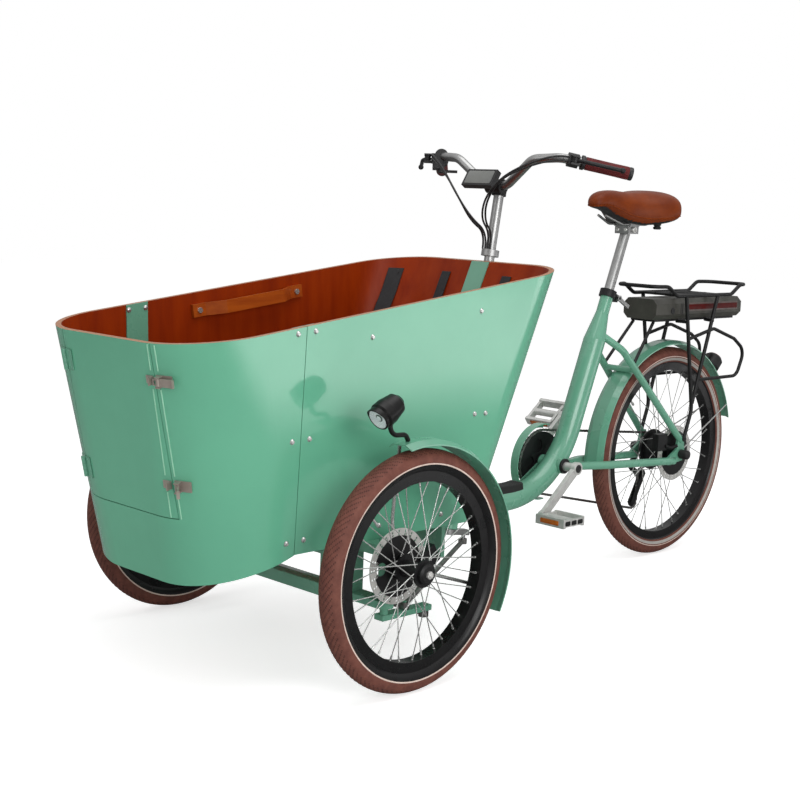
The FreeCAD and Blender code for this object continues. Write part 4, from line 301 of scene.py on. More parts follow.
socketNames = {"metal": "Metallic", "shine": "Specular IOR Level", "coat": "Coat Weight",
               "coatRough": "Coat Roughness", "ior": "IOR", "clear": "Transmission Weight",
               "glowTint": "Emission Color", "glow": "Emission Strength"}


def surface(name, tint, drift, patchScale, grain, depth, rough, more):
    mat = bpy.data.materials.new(name)
    mat.use_nodes = True
    tree = mat.node_tree
    node = nodeMaker(tree)
    shader = tree.nodes["Principled BSDF"]
    place = node("TexCoord").outputs["Object"]
    spread = node("Mapping", {"Vector": place, "Scale": more.get("stretch", (1, 1, 1))}).outputs[0]
    noise = node("TexNoise", {"Vector": spread, "Scale": patchScale, "Detail": 5.0, "Roughness": 0.6})
    patch = noise.outputs["Fac"]
    limits = node("MapRange", {"Value": patch, "From Min": 0.35, "From Max": 0.65}).outputs[0]
    colour = node("Mix", {0: limits, 6: tone(*tint), 7: tone(*drift)}, data_type="RGBA").outputs[2]
    if "layers" in more:
        # glue lines of the ply, counted through the sheet
        inset = node("Attribute", attribute_name="inset").outputs["Fac"]
        wave = node("Math", {0: inset, 1: more["layers"]}, operation="MULTIPLY").outputs[0]
        swing = node("Math", {0: wave}, operation="SINE").outputs[0]
        band = node("MapRange", {"Value": swing, "From Min": -0.4, "From Max": 0.4}).outputs[0]
        colour = node("Mix", {0: band, 6: colour, 7: tone(*more["glue"])}, data_type="RGBA").outputs[2]
    if more.get("kind") == "cells":
        height = node("TexVoronoi", {"Vector": place, "Scale": grain}).outputs["Distance"]
    elif more.get("kind") == "weave":
        weave = {"Vector": spread, "Scale": grain, "Distortion": 0.6, "Detail": 1.0}
        height = node("TexWave", weave, bands_direction="DIAGONAL").outputs["Fac"]
    else:
        height = node("TexNoise", {"Vector": spread, "Scale": grain, "Detail": 3.0}).outputs["Fac"]
    limits = {"From Min": 0.3, "From Max": 0.7, "To Min": rough[0], "To Max": rough[1]}
    gloss = node("MapRange", {"Value": patch, **limits}).outputs[0]
    soft = node("Bevel", {"Radius": more.get("edge", 0.7) * 0.001}, samples=4).outputs[0]
    strength = more.get("relief", 0.4)
    bump = node("Bump", {"Height": height, "Normal": soft, "Strength": strength, "Distance": depth * 0.001})
    for key, output in (("Base Color", colour), ("Roughness", gloss), ("Normal", bump.outputs[0])):
        tree.links.new(output, shader.inputs[key])
    for key, value in more.items():
        if key in socketNames:
            shader.inputs[socketNames[key]].default_value = value
    return mat


paintSet = {"coat": 0.6, "coatRough": 0.04, "ior": 1.5}
# tint, drift, scales of the patches and the grain, depth of the grain in mm, roughness, what is special
lookBook = {
    "mintPaint": ((107, 169, 142), (101, 162, 135), 9, 900, 0.03, (0.22, 0.32), paintSet),
    "mintPanel": ((106, 182, 149), (102, 177, 145), 5, 260, 0.03, (0.12, 0.18), paintSet),
    # a lighter mint for the beads at the door's edges, a painted highlight
    "mintLine": ((158, 218, 186), (148, 208, 176), 60, 900, 0.03, (0.2, 0.3), paintSet),
    "brownPly": ((150, 50, 4), (130, 37, 1), 26, 420, 0.06, (0.32, 0.42),
                 {"stretch": (1, 1, 0.12), "shine": 0.14}),
    "plyEdge": ((206, 160, 128), (184, 136, 104), 160, 700, 0.1, (0.5, 0.65),
                {"layers": 4.2, "glue": (150, 98, 70)}),
    "handlePly": ((176, 84, 22), (150, 62, 12), 40, 420, 0.06, (0.3, 0.42),
                  {"stretch": (0.1, 1, 1), "shine": 0.2}),
    "tyreBrown": ((118, 66, 52), (100, 54, 44), 60, 900, 0.12, (0.62, 0.78), {"relief": 0.6}),
    "tyreLine": ((226, 206, 194), (212, 190, 178), 80, 1200, 0.05, (0.4, 0.55), {}),
    # a darker rubber for the groove faces, painted shade in the tread's grooves
    "tyreGrooveShade": ((84, 46, 37), (72, 38, 31), 60, 900, 0.1, (0.7, 0.85), {}),
    "reflexBand": ((198, 194, 188), (180, 176, 170), 90, 1500, 0.06, (0.25, 0.38),
                   {"kind": "cells", "metal": 0.35}),
    "rimBlack": ((15, 15, 16), (21, 20, 21), 30, 800, 0.04, (0.24, 0.36), {"shine": 0.3}),
    "spokeSteel": ((206, 206, 204), (186, 186, 184), 120, 900, 0.03, (0.2, 0.32), {"metal": 0.75}),
    "latchSteel": ((182, 170, 160), (164, 152, 143), 14, 700, 0.03, (0.26, 0.36), {"metal": 0.4}),
    "rotorSteel": ((222, 220, 216), (204, 202, 198), 70, 1500, 0.04, (0.28, 0.4),
                   {"stretch": (1, 8, 1), "metal": 0.55}),
    "alloy": ((170, 170, 169), (156, 156, 156), 35, 1100, 0.03, (0.34, 0.44), {"metal": 1.0}),
    "castAlloy": ((222, 221, 218), (206, 205, 202), 60, 700, 0.08, (0.32, 0.44), {"metal": 0.55}),
    "cogSteel": ((150, 148, 146), (116, 114, 112), 80, 900, 0.06, (0.3, 0.45), {"metal": 1.0}),
    "blackMetal": ((16, 16, 17), (23, 23, 24), 50, 1400, 0.06, (0.36, 0.5), {"shine": 0.32}),
    "blackPlastic": ((20, 20, 21), (28, 28, 29), 40, 2200, 0.05, (0.4, 0.55), {"kind": "cells"}),
    "lampBlack": ((13, 13, 13), (19, 18, 18), 40, 2000, 0.04, (0.3, 0.42), {"kind": "cells", "shine": 0.25}),
    "rubberPad": ((24, 25, 25), (34, 34, 34), 70, 1500, 0.1, (0.65, 0.8), {}),
    "saddleLeather": ((124, 52, 9), (104, 39, 5), 18, 620, 0.14, (0.34, 0.46),
                      {"kind": "cells", "shine": 0.2}),
    "seamThread": ((130, 56, 12), (110, 43, 7), 60, 1800, 0.1, (0.6, 0.75), {"shine": 0.1}),
    "gripMaroon": ((98, 30, 30), (82, 23, 24), 45, 1100, 0.12, (0.5, 0.62), {"kind": "cells", "shine": 0.2}),
    "webbing": ((26, 26, 28), (40, 40, 42), 160, 420, 0.3, (0.7, 0.85), {"kind": "weave", "relief": 0.8}),
    "batteryGrey": ((70, 69, 63), (61, 60, 55), 20, 1600, 0.04, (0.34, 0.46), {"shine": 0.25}),
    "stripeMaroon": ((84, 15, 13), (70, 11, 10), 60, 1500, 0.03, (0.36, 0.46), {"shine": 0.12}),
    "stripePale": ((96, 84, 80), (84, 74, 71), 60, 1500, 0.03, (0.35, 0.45), {}),
    "screenGrey": ((118, 120, 116), (108, 110, 108), 14, 2600, 0.01, (0.12, 0.2), {"coat": 0.5}),
    "amber": ((188, 96, 12), (160, 76, 8), 120, 900, 0.4, (0.12, 0.22), {"kind": "cells", "coat": 0.6}),
    "redLens": ((150, 12, 16), (118, 6, 10), 90, 520, 0.5, (0.1, 0.2), {"kind": "cells", "coat": 0.7}),
    "lampGlass": ((236, 240, 240), (222, 228, 230), 60, 300, 0.02, (0.01, 0.03),
                  {"clear": 0.96, "ior": 1.3}),
    # a pale white with little metal and a faint white glow, a painted reflection on the headlamp's reflector
    "lampChromePaintedGlow": ((240, 242, 242), (214, 218, 220), 160, 420, 0.2, (0.1, 0.2),
                   {"metal": 0.1, "glowTint": (1, 1, 1, 1), "glow": 0.26}),
    "cableBlack": ((18, 18, 19), (28, 28, 29), 90, 1800, 0.05, (0.42, 0.55), {"edge": 0.2}),
}
mats = {name: surface(name, *look) for name, look in lookBook.items()}
print("surfaces:", len(mats))

# surfaces on the CAD nodes

nodeLook = {
    "mintPaint": ("left_knuckle", "right_knuckle", "left_fender", "right_fender", "subframe", "chain_guard",
                  "rear_fender", "main_frame", "seam_straps"),
    "tyreBrown": ("left_tyre", "right_tyre", "rear_tyre"),
    "rimBlack": ("left_rim", "right_rim", "rear_rim"),
    "spokeSteel": ("left_spokes", "right_spokes", "rear_spokes"),
    "latchSteel": ("upper_latch", "lower_latch"),
    "cogSteel": ("cassette", "tie_rod", "drag_link", "chain"),
    "blackMetal": ("left_caliper", "right_caliper", "rear_caliper", "derailleur", "rack", "seat_clamp",
                   "left_brake_lever", "right_brake_lever"),
    "blackPlastic": ("bar_controls", "shift_lever", "tail_light"),
    "lampBlack": ("headlamp",),
    "alloy": ("steering_column", "seatpost", "clamp_lever"),
    "castAlloy": ("left_pedal", "right_pedal"),
    "brownPly": ("floor_board", "bench"),
    "handlePly": ("grab_handles",),
    "batteryGrey": ("battery",),
    "webbing": ("harness",),
    "gripMaroon": ("grips",),
    "saddleLeather": ("saddle",),
    "cableBlack": ("control_cables",),
}
for look, names in nodeLook.items():
    for name in names:
        nodes[name].data.materials.clear()
        nodes[name].data.materials.append(mats[look])


def paintFaces(name, looks, pick):
    mesh = nodes[name].data
    mesh.materials.clear()
    for look in looks:
        mesh.materials.append(mats[look])
    for face in mesh.polygons:
        face.material_index = pick(face.center * 1000, face.normal)


# box walls: the shell's outline at two heights, as in the part's source
boxPlan = {"lowZ": 235.0, "highZ": 860.0, "ply": 12.0, "rimZ": 600.0,
           "outline": {"front": (390.0, 513.0), "frontRadius": (190.0, 160.0), "rear": (340.0, 622.0),
                       "rearRadius": (70.0, 140.0), "half": (270.0, 298.0)}}


def planAt(z):
    share = (z - boxPlan["lowZ"]) / (boxPlan["highZ"] - boxPlan["lowZ"])
    return {key: low + (high - low) * share for key, (low, high) in boxPlan["outline"].items()}


def innerWall(z):
    return planAt(z)["half"] - boxPlan["ply"]


def planPlace(at):
    # how deep a point lies inside the shell's outer face, and the way out
    plan = planAt(at.z)
    x = at.x - frontX
    y = abs(at.y)
    sign = 1 if at.y >= 0 else -1
    for end, way in (("front", 1), ("rear", -1)):
        radius = plan[end + "Radius"]
        over = Vector((x * way - (plan[end] - radius), y - (plan["half"] - radius)))
        if over.x > 0 and over.y > 0:
            out = over.normalized()
            return radius - over.length, Vector((out.x * way, out.y * sign, 0))
    gaps = [(plan["front"] - x, Vector((1, 0, 0))), (plan["rear"] + x, Vector((-1, 0, 0))),
            (plan["half"] - y, Vector((0, sign, 0)))]
    return min(gaps, key=lambda gap: gap[0])


def paintWall(name):
    # paint outside, brown ply inside, and its layers along the rim
    mesh = nodes[name].data
    inset = mesh.attributes.new("inset", "FLOAT", "POINT")
    for i, vertex in enumerate(mesh.vertices):
        inset.data[i].value = planPlace(vertex.co * 1000)[0]

    def pick(at, normal):
        facing = normal.dot(planPlace(at)[1])
        if facing < -0.6:
            return 1
        return 2 if facing <= 0.6 and normal.z > 0.5 and at.z > boxPlan["rimZ"] else 0

    paintFaces(name, ("mintPanel", "brownPly", "plyEdge"), pick)


for wall in ("front_panel", "left_panel", "right_panel", "door"):
    paintWall(wall)

# where a node changes its surface
splitLook = {"disc": -47.9, "carrier": 61.5, "guard": {"left": 256.0, "right": 256.0, "rear": 310.0},
             "chainring": (-47.5, -42.5), "stem": 24.6, "dropout": (70.3, -700.0),
             "latches": frontX + 380, "hinges": -100.0}
handleLook = {"x": frontX - 101.0, "half": 146.3, "head": 7.5, "thick": 8.7}


def paintHub(side, out, look):
    # silver disc rim on a black carrier, black hub
    x, y, z = wheelAt[side]

    def pick(at, normal):
        outside = math.hypot(at.x - x, at.z - z) > look["carrier"]
        return 0 if (at.y - y) * out < look["disc"] and outside else 1

    paintFaces(f"{side}_disc_hub", ("rotorSteel", "blackMetal"), pick)


def paintFender(side, look):
    # steel stays inside the painted guard
    x, y, z = wheelAt[side]
    paintFaces(f"{side}_fender", ("mintPaint", "spokeSteel"),
               lambda at, normal: 1 if math.hypot(at.x - x, at.z - z) < look["guard"][side] else 0)


def paintHandles(look):
    # bolt heads on the two feet of each strip
    def pick(at, normal):
        foot = abs(abs(at.x - look["x"]) - look["half"]) < look["head"]
        return 1 if foot and innerWall(at.z) - abs(at.y) > look["thick"] else 0

    paintFaces("grab_handles", ("handlePly", "spokeSteel"), pick)


def paintSplits(look):
    low, high = look["chainring"]
    reach, behind = look["dropout"]
    paintFaces("crankset", ("castAlloy", "blackMetal"), lambda at, normal: 1 if low < at.y < high else 0)
    paintFaces("handlebar", ("alloy", "blackMetal"), lambda at, normal: 1 if abs(at.y) < look["stem"] else 0)
    paintFaces("main_frame", ("mintPaint", "blackMetal"),
               lambda at, normal: 1 if abs(at.y) > reach and at.x < behind else 0)
    for name in ("box_hardware", "door_hardware"):
        paintFaces(name, ("spokeSteel", "mintPaint", "latchSteel"),
                   lambda at, normal: 0 if at.x < look["latches"] else 1 if at.y < look["hinges"] else 2)


for side, out in (*sides, ("rear", -1)):
    paintHub(side, out, splitLook)
    paintFender(side, splitLook)
paintHandles(handleLook)
paintSplits(splitLook)
print("CAD surfaces")

# tyres with tread blocks and pale lines

tyreLook = {
    "segments": 432, "section": 25.0, "groove": 1.4, "repeat": 4,
    # degrees from the crown
    "crown": (4, 10, 16, 22, 28, 34, 40, 46, 52, 58), "wall": (66, 80), "bead": (118, 132, 150),
    "lines": {"left": (95, 102), "right": (95, 102), "rear": (90, 95)}, "band": {"rear": (101, 120)},
    "looks": ("tyreBrown", "tyreLine", "reflexBand", "rimBlack", "tyreGrooveShade"),
}


def onWheel(side, radius, turn, y):
    x, middle, z = wheelAt[side]
    return mm(x + radius * math.cos(turn), middle + y, z + radius * math.sin(turn))


def addTyre(side, look):
    low, high = look["lines"][side]
    band = look["band"].get(side)
    half = sorted(set(look["crown"] + look["wall"] + (low, high) + look["bead"] + (band or ())))
    turns = [-turn for turn in reversed(half)] + half
    core = wheelAt[side][2] - look["section"]
    rings = []
    for i in range(look["segments"]):
        spin = fullTurn * i / look["segments"]
        ring = []
        for turn in turns:
            reach = look["section"]
            size = abs(turn)
            # slanting grooves, set off by half a step from side to side
            if size in look["crown"][:-1]:
                step = i + look["crown"].index(size) + (look["repeat"] // 2 if turn > 0 else 0)
                reach -= 0 if step % look["repeat"] else look["groove"]
            lean = math.radians(turn)
            ring.append(onWheel(side, core + reach * math.cos(lean), spin, reach * math.sin(lean)))
        rings.append(ring)
    black = look["bead"][1] if band else high
    picks = []
    for i in range(look["segments"]):
        for k, turn in enumerate(turns):
            size = abs(turn + turns[k + 1]) / 2 if k < len(turns) - 1 else 0
            step = i + k if turn < 0 else i - k
            # groove faces take the darker rubber, painted shade in the grooves
            if size < look["crown"][-2] and step % look["repeat"] == 0:
                picks.append(4)
            elif low < size < high:
                picks.append(1)
            elif band and band[0] < size < band[1]:
                picks.append(2)
            else:
                picks.append(3 if size > black else 0)
    tyre = addPiece(f"{side}TyreTread", skin(rings, True), f"{side}_wheel", look["looks"], 28, picks)
    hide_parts(f"{side}_tyre")


# spoke nipples and a valve on each rim
nippleLook = {"count": 36, "cross": 38.0, "length": 12.0, "radius": 2.1, "spread": 27.0, "rise": 3.0,
              "valve": 34.0, "valveAt": 4.5,
              # radius of the rim and of the hub's flange
              "rims": {"left": (187.0, 29.0), "right": (187.0, 29.0), "rear": (237.0, 59.0)}}


def addNipples(side, look):
    rim, flange = look["rims"][side]
    r = look["radius"]
    length = look["length"]
    shape = [(r * 1.3, -0.6), (r * 1.3, 1.5), (r, 2), (r, length - 2), (r * 0.75, length)]
    parts = []
    for i in range(look["count"]):
        out = 1 if i % 2 else -1
        lean = 1 if i // 2 % 2 else -1
        end = fullTurn * i / look["count"]
        foot = onWheel(side, flange, end - lean * math.radians(look["cross"]), out * look["spread"])
        head = onWheel(side, rim, end, out * look["rise"])
        parts.append(lathe(shape, head, (foot - head).normalized(), 8))
    spin = fullTurn * look["valveAt"] / look["count"]
    radial = Vector((math.cos(spin), 0, math.sin(spin)))
    top = look["valve"]
    valve = [(4, -0.6), (4, 2), (2.6, 2.5), (2.6, top - 10), (3.6, top - 9), (3.6, top - 1), (2.6, top)]
    parts.append(lathe(valve, mm(*wheelAt[side]) + radial * rim * 0.001, -radial, 10))
    addPiece(f"{side}Nipples", gather(parts), f"{side}_wheel", "spokeSteel")


for side in wheelAt:
    addTyre(side, tyreLook)
    addNipples(side, nippleLook)

# axle nuts on the front hubs and black caps over the rear nuts
axleLook = {"nut": (8.5, 6.0), "stub": (5.0, 9.0), "cap": 13.5, "capSpan": (72.0, 99.0)}


def addAxleEnds(look):
    r = look["cap"]
    low, high = look["capSpan"]
    shape = [(r - 1, low), (r, low + 1), (r, high - 4), (r - 1.2, high - 1.2), (r - 4, high)]
    for side, sign in sides:
        x, y, z = wheelAt[side]
        end = max(sign * vertex.co.y for vertex in nodes[f"{side}_disc_hub"].data.vertices)
        spot = Vector((x * 0.001, sign * end, z * 0.001))
        out = Vector((0, sign, 0))
        nut = lathe(boltRim(*look["nut"]), spot, out, 6)
        stub = lathe(boltRim(*look["stub"], 0), spot, out, 20)
        addPiece(f"{side}AxleNut", gather([nut, stub]), f"{side}_wheel", "castAlloy", 30)
        cap = lathe(shape, mm(*wheelAt["rear"]), out, 28)
        addPiece(f"{side}AxleCap", cap, "frame", "blackPlastic")


addAxleEnds(axleLook)
print("tyres")

# roller chain round its four wheels

chainLook = {
    # x, z, radius and way round of each wheel
    "wheels": ((*crankAt, 86.0, 1), (rearX, 303.5, 46.0, 1), (rearX + 20, 227.5, 20.0, -1),
               (rearX + 62, 151.5, 20.0, 1)),
    "y": -45.0, "pitch": 12.7, "plate": 0.9, "half": 3.6, "waist": 2.6, "roller": 3.4, "pin": 1.8,
    "inner": 1.3, "outer": 2.3, "steps": 60,
}


def touch(wheel, heading):
    # where a line of this heading meets a wheel
    x, z, radius, way = wheel
    return x + way * radius * math.sin(heading), z - way * radius * math.cos(heading)


def chainRoute(wheels, count):
    # straight runs and arcs as short steps of (x, z)
    runs = []
    for now, after in zip(wheels, wheels[1:] + wheels[:1]):
        span = math.hypot(after[0] - now[0], after[1] - now[1])
        heading = math.atan2(after[1] - now[1], after[0] - now[0])
        heading -= math.asin((after[3] * after[2] - now[3] * now[2]) / span)
        runs.append((touch(now, heading), touch(after, heading), heading))
    steps = []
    for i, (start, end, heading) in enumerate(runs):
        for k in range(count):
            steps.append(tuple(low + (high - low) * k / count for low, high in zip(start, end)))
        wheel = wheels[(i + 1) % len(wheels)]
        swing = (runs[(i + 1) % len(runs)][2] - heading) % fullTurn - (fullTurn if wheel[3] < 0 else 0)
        for k in range(count):
            steps.append(touch(wheel, heading + swing * k / count))
    return steps


def chainPins(look):
    # evenly spaced places along the route, an even number of them
    steps = chainRoute(look["wheels"], look["steps"])
    steps.append(steps[0])
    lengths = [0.0]
    for now, after in zip(steps, steps[1:]):
        lengths.append(lengths[-1] + math.hypot(after[0] - now[0], after[1] - now[1]))
    count = 2 * round(lengths[-1] / look["pitch"] / 2)
    pins = []
    at = 0
    for i in range(count):
        goal = lengths[-1] * i / count
        while lengths[at + 1] < goal:
            at += 1
        share = (goal - lengths[at]) / (lengths[at + 1] - lengths[at])
        x, z = (low + (high - low) * share for low, high in zip(steps[at], steps[at + 1]))
        pins.append(Vector((x, look["y"], z)))
    return pins


def addChain(look):
    pins = chainPins(look)
    end = look["outer"] + look["plate"]
    pinR = look["pin"]
    rollR = look["roller"]
    roller = [(pinR, -end), (pinR, -1.6), (rollR, -1.5), (rollR, 1.5), (pinR, 1.6), (pinR, end)]
    parts = []
    for i, pin in enumerate(pins):
        after = pins[(i + 1) % len(pins)]
        along = (after - pin).normalized()
        rise = along.cross(leftWay)
        outline = []
        for middle, first in ((after, -90), (pin, 90)):
            for k in range(7):
                turn = math.radians(first + 30 * k)
                outline.append(middle + (along * math.cos(turn) + rise * math.sin(turn)) * look["half"])
            outline.append((pin + after) / 2 + rise * look["waist"] * (1 if first < 0 else -1))
        near = look["inner"] if i % 2 else look["outer"]
        for sign in (1, -1):
            rings = []
            for height in (near, near + look["plate"]):
                rings.append([(point + leftWay * sign * height) * 0.001 for point in outline])
            parts.append(skin(rings))
        parts.append(lathe(roller, pin * 0.001, leftWay, 10))
    chain = addPiece("rollerChain", gather(parts), "frame", "cogSteel")
    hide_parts("chain")


addChain(chainLook)
print("chain")

# saddle: leather over foam, with a black shell below

saddleLook = {
    "nose": frontX - 1036.0, "length": 284.0, "top": 1046.0,
    # share of the length, half width, drop of the top, depth
    "stations": ((0.0, 6, 34, 8), (0.012, 15, 25, 22), (0.04, 23, 15, 34), (0.1, 30, 6, 42),
                 (0.2, 34, 2, 48), (0.32, 41, 5, 60), (0.45, 55, 8, 73), (0.58, 77, 7, 80),
                 (0.7, 97, 3, 82), (0.8, 109, 0, 84), (0.88, 113, -2, 84), (0.94, 110, -1, 80),
                 (0.98, 97, 5, 70), (1.0, 74, 16, 50)),
    # share of the depth above the widest line, and how square the section is
    "above": 0.64, "below": 0.36, "squareSide": 0.8, "squareTop": 0.7, "squareUnder": 0.6,
    "skirt": 15.0, "skirtFrom": 0.3, "skirtLength": 0.68, "around": 32,
    "looks": ("saddleLeather", "blackPlastic"),
    # in metres: the even mesh, how far cloth may move, and the steps of a seam
    "voxel": 0.005, "pressure": 4.0, "frames": 20, "cap": 0.008, "swell": 0.6, "seamStep": 0.006,
    # share of the depth at which the seams run
    "piping": 0.86, "stitches": 0.76, "pipingRadius": 1.5,
}


def saddleRing(share, half, drop, depth, look):
    high = look["top"] - drop
    middle = high - depth * look["above"]
    along = min(1.0, max(0.0, (share - look["skirtFrom"]) / look["skirtLength"]))
    skirt = look["skirt"] * max(0.0, math.sin(math.pi * along))
    ring = []
    for k in range(look["around"]):
        turn = fullTurn * k / look["around"]
        c = math.cos(turn)
        s = math.sin(turn)
        y = half * math.copysign(abs(c) ** look["squareSide"], c)
        under = max(0.0, -s) ** look["squareUnder"]
        rise = (high - middle) * s ** look["squareTop"] if s > 0 else -depth * look["below"] * under
        ring.append(mm(look["nose"] - share * look["length"], y,
                       middle + rise - skirt * abs(y / half) ** 1.5 * under))
    return ring


def subdivide(obj, levels):
    fine = obj.modifiers.new("fine", "SUBSURF")
    fine.levels = levels
    fine.render_levels = levels


def bake(obj):
    # the modifiers' result becomes the mesh
    graph = bpy.context.evaluated_depsgraph_get()
    mesh = bpy.data.meshes.new_from_object(obj.evaluated_get(graph))
    obj.modifiers.clear()
    obj.data = mesh
    return mesh


def puff(obj, look):
    # a short cloth run under inner pressure, its moves capped
    rest = [vertex.co.copy() for vertex in obj.data.vertices]
    cloth = obj.modifiers.new("cloth", "CLOTH")
    cloth.settings.use_pressure = True
    cloth.settings.uniform_pressure_force = look["pressure"]
    cloth.settings.effector_weights.gravity = 0
    cloth.settings.quality = 5
    cloth.settings.tension_stiffness = 30
    cloth.settings.bending_stiffness = 2
    cloth.point_cache.frame_start = 1
    cloth.point_cache.frame_end = look["frames"]
    for number in range(1, look["frames"] + 1):
        scene.frame_set(number)
    graph = bpy.context.evaluated_depsgraph_get()
    moved = [vertex.co.copy() for vertex in obj.evaluated_get(graph).data.vertices]
    obj.modifiers.remove(cloth)
    scene.frame_set(1)
    for vertex, start, end in zip(obj.data.vertices, rest, moved):
        way = end - start
        if way.length > look["cap"]:
            way *= look["cap"] / way.length
        vertex.co = start + way * look["swell"]


def seamLoop(cover, level, look):
    # spots and normals round the cover at a share of its depth, then eased along the leather
    points = []
    for sign in (1, -1):
        run = []
        for share, half, drop, depth in look["stations"][1:-1]:
            z = look["top"] - drop - depth * level
            run.append(mm(look["nose"] - share * look["length"], sign * half * 1.1, z))
        points += run[::sign]
    loop = []
    for i, point in enumerate(points):
        after = points[(i + 1) % len(points)]
        count = max(2, round((after - point).length / look["seamStep"]))
        for k in range(count):
            loop.append(cover.find_nearest(point.lerp(after, k / count))[:2])
    for ease in range(4):
        spots = [spot for spot, normal in loop]
        middles = [(spots[i - 1] + spots[(i + 1) % len(spots)]) / 2 for i in range(len(spots))]
        loop = [cover.find_nearest(middle)[:2] for middle in middles]
    return loop


def addSeams(cover, look):
    # piping along the lower hem, and a row of stitches above it
    loop = seamLoop(cover, look["piping"], look)
    spots = [spot + normal * 0.0006 for spot, normal in loop]
    rings = []
    for i, (spot, normal) in enumerate(loop):
        way = (spots[(i + 1) % len(spots)] - spots[i - 1]).normalized()
        rings.append(circle(spots[i], normal, way.cross(normal).normalized(), look["pipingRadius"], 8))
    addPiece("saddlePiping", skin(rings, True), "seat", "seamThread")
    loop = seamLoop(cover, look["stitches"], look)
    parts = []
    for i in range(len(loop) - 1):
        spot, normal = loop[i]
        way = loop[i + 1][0] - spot
        if way.length > 0.002:
            low = normal * 0.0002
            arch = [spot + low, spot + way * 0.3 + normal * 0.0007, spot + way * 0.62 + low]
            parts.append(pipe(arch, 0.5, 6))
    addPiece("saddleStitches", gather(parts), "seat", "seamThread")


def addSaddle(look):
    rings = [saddleRing(*station, look) for station in look["stations"]]
    saddle = addPiece("saddleCover", skin(rings), "seat", look["looks"], 180)
    subdivide(saddle, 2)
    remesh = saddle.modifiers.new("even", "REMESH")
    remesh.mode = "VOXEL"
    remesh.voxel_size = look["voxel"]
    bake(saddle)
    puff(saddle, look)
    smooth = saddle.modifiers.new("smooth", "SMOOTH")
    smooth.factor = 0.5
    smooth.iterations = 6
    done = bake(saddle)
    done.materials.clear()
    for name in look["looks"]:
        done.materials.append(mats[name])
    for face in done.polygons:
        face.use_smooth = True
        face.material_index = 1 if face.normal.z < -0.75 else 0
    subdivide(saddle, 1)
    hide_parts("saddle")
    cover = BVHTree.FromPolygons([vertex.co for vertex in done.vertices],
                                 [face.vertices[:] for face in done.polygons])
    addSeams(cover, look)


addSaddle(saddleLook)

# rubber springs under the saddle's wide end, on the rails
bumperLook = {"x": frontX - 1272.0, "y": 50.0, "z": (944.0, 972.0), "radius": 11.0}


def addBumpers(look):
    low, high = look["z"]
    r = look["radius"]
    shape = [(r - 3, 0), (r, 2), (r, 6), (r - 2.5, 8.5), (r - 2.5, 10), (r, 12.5), (r, 17),
             (r - 3, high - low)]
    parts =[lathe(shape, mm(look["x"], sign * look["y"], low), upWay, 24) for side, sign in sides]
    addPiece("saddleBumpers", gather(parts), "seat", "rubberPad")


addBumpers(bumperLook)

# bolt heads on the clamp that holds the saddle's rails
clampLook = {"x": frontX - 1201.0, "z": 941.0, "half": 23.0, "pitch": 13.0,
             # radius and height of the heads beside and ahead
             "beside": (8.5, 6.0), "ahead": (5.0, 3.5)}


def addClampBolts(look):
    def head(size, spot, way):
        radius, rise = size
        return lathe(boltRim(*size) + [(radius * 0.5, rise), (radius * 0.45, rise - 2.5)], spot, way, 24)

    parts = []
    for side, sign in sides:
        spot = mm(look["x"], sign * look["half"], look["z"])
        parts.append(head(look["beside"], spot, Vector((0, sign, 0))))
        spot = mm(look["x"] + look["half"], sign * look["pitch"], look["z"])
        parts.append(head(look["ahead"], spot, Vector((1, 0, 0))))
    addPiece("clampBolts", gather(parts), "seat", "castAlloy")


addClampBolts(clampLook)
print("saddle")

# grips: ribbed rubber with a dark collar and end cap

barMid = (-24.34, 0.0, 1041.04)
gripLook = {"tip": (barMid[0] - 130, 310.0, barMid[2] + 40), "root": (barMid[0] - 6, 196.0, barMid[2] + 72),
            "length": 128.0, "sunk": 4.0, "ribs": 16, "around": 96, "depth": 0.55, "rubber": (10.5, 117.0),
            # height from the inner end, radius, ribbed or not
            "stations": ((0, 13.5, 0), (0.6, 16.6, 0), (1.6, 17.4, 0), (8, 17.4, 0), (9, 16.6, 0),
                         (9.6, 15.0, 0), (11, 14.8, 0), (12, 15.4, 0.5), (15, 15.7, 1), (40, 15.5, 1),
                         (64, 15.4, 1), (90, 15.6, 1), (112, 15.9, 1), (116, 15.8, 0.5), (117.5, 15.0, 0),
                         (118.5, 15.0, 0), (119.5, 15.9, 0), (125, 15.9, 0), (127, 15.2, 0), (128, 13.4, 0),
                         (128.2, 6, 0), (127.4, 5, 0))}


def gripWay(sign, look):
    tip, root = (Vector((x, y * sign, z)) for x, y, z in (look["tip"], look["root"]))
    return tip, (tip - root).normalized()


def addGrips(look):
    low, high = look["rubber"]
    parts = []
    picks = []
    for side, sign in sides:
        tip, way = gripWay(sign, look)
        one, two = across(way)
        inner = tip + way * (look["sunk"] - look["length"])
        rings = []
        for height, radius, ribbed in look["stations"]:
            ring = []
            for k in range(look["around"]):
                turn = fullTurn * k / look["around"]
                r = radius - ribbed * look["depth"] * (0.5 + 0.5 * math.cos(turn * look["ribs"])) ** 2
                out = one * math.cos(turn) + two * math.sin(turn)
                ring.append((inner + way * height + out * r) * 0.001)
            rings.append(ring)
        parts.append(skin(rings))
        for now, after in zip(look["stations"], look["stations"][1:]):
            middle = (now[0] + after[0]) / 2
            picks += [1 if middle < low or middle > high else 0] * look["around"]
        picks += [1, 1]
    looks = ("gripMaroon", "blackPlastic")
    grips = addPiece("gripRubber", gather(parts), "steering", looks, 50, picks)
    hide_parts("grips")


addGrips(gripLook)
print("grips")

# control cables, each along the route's own points

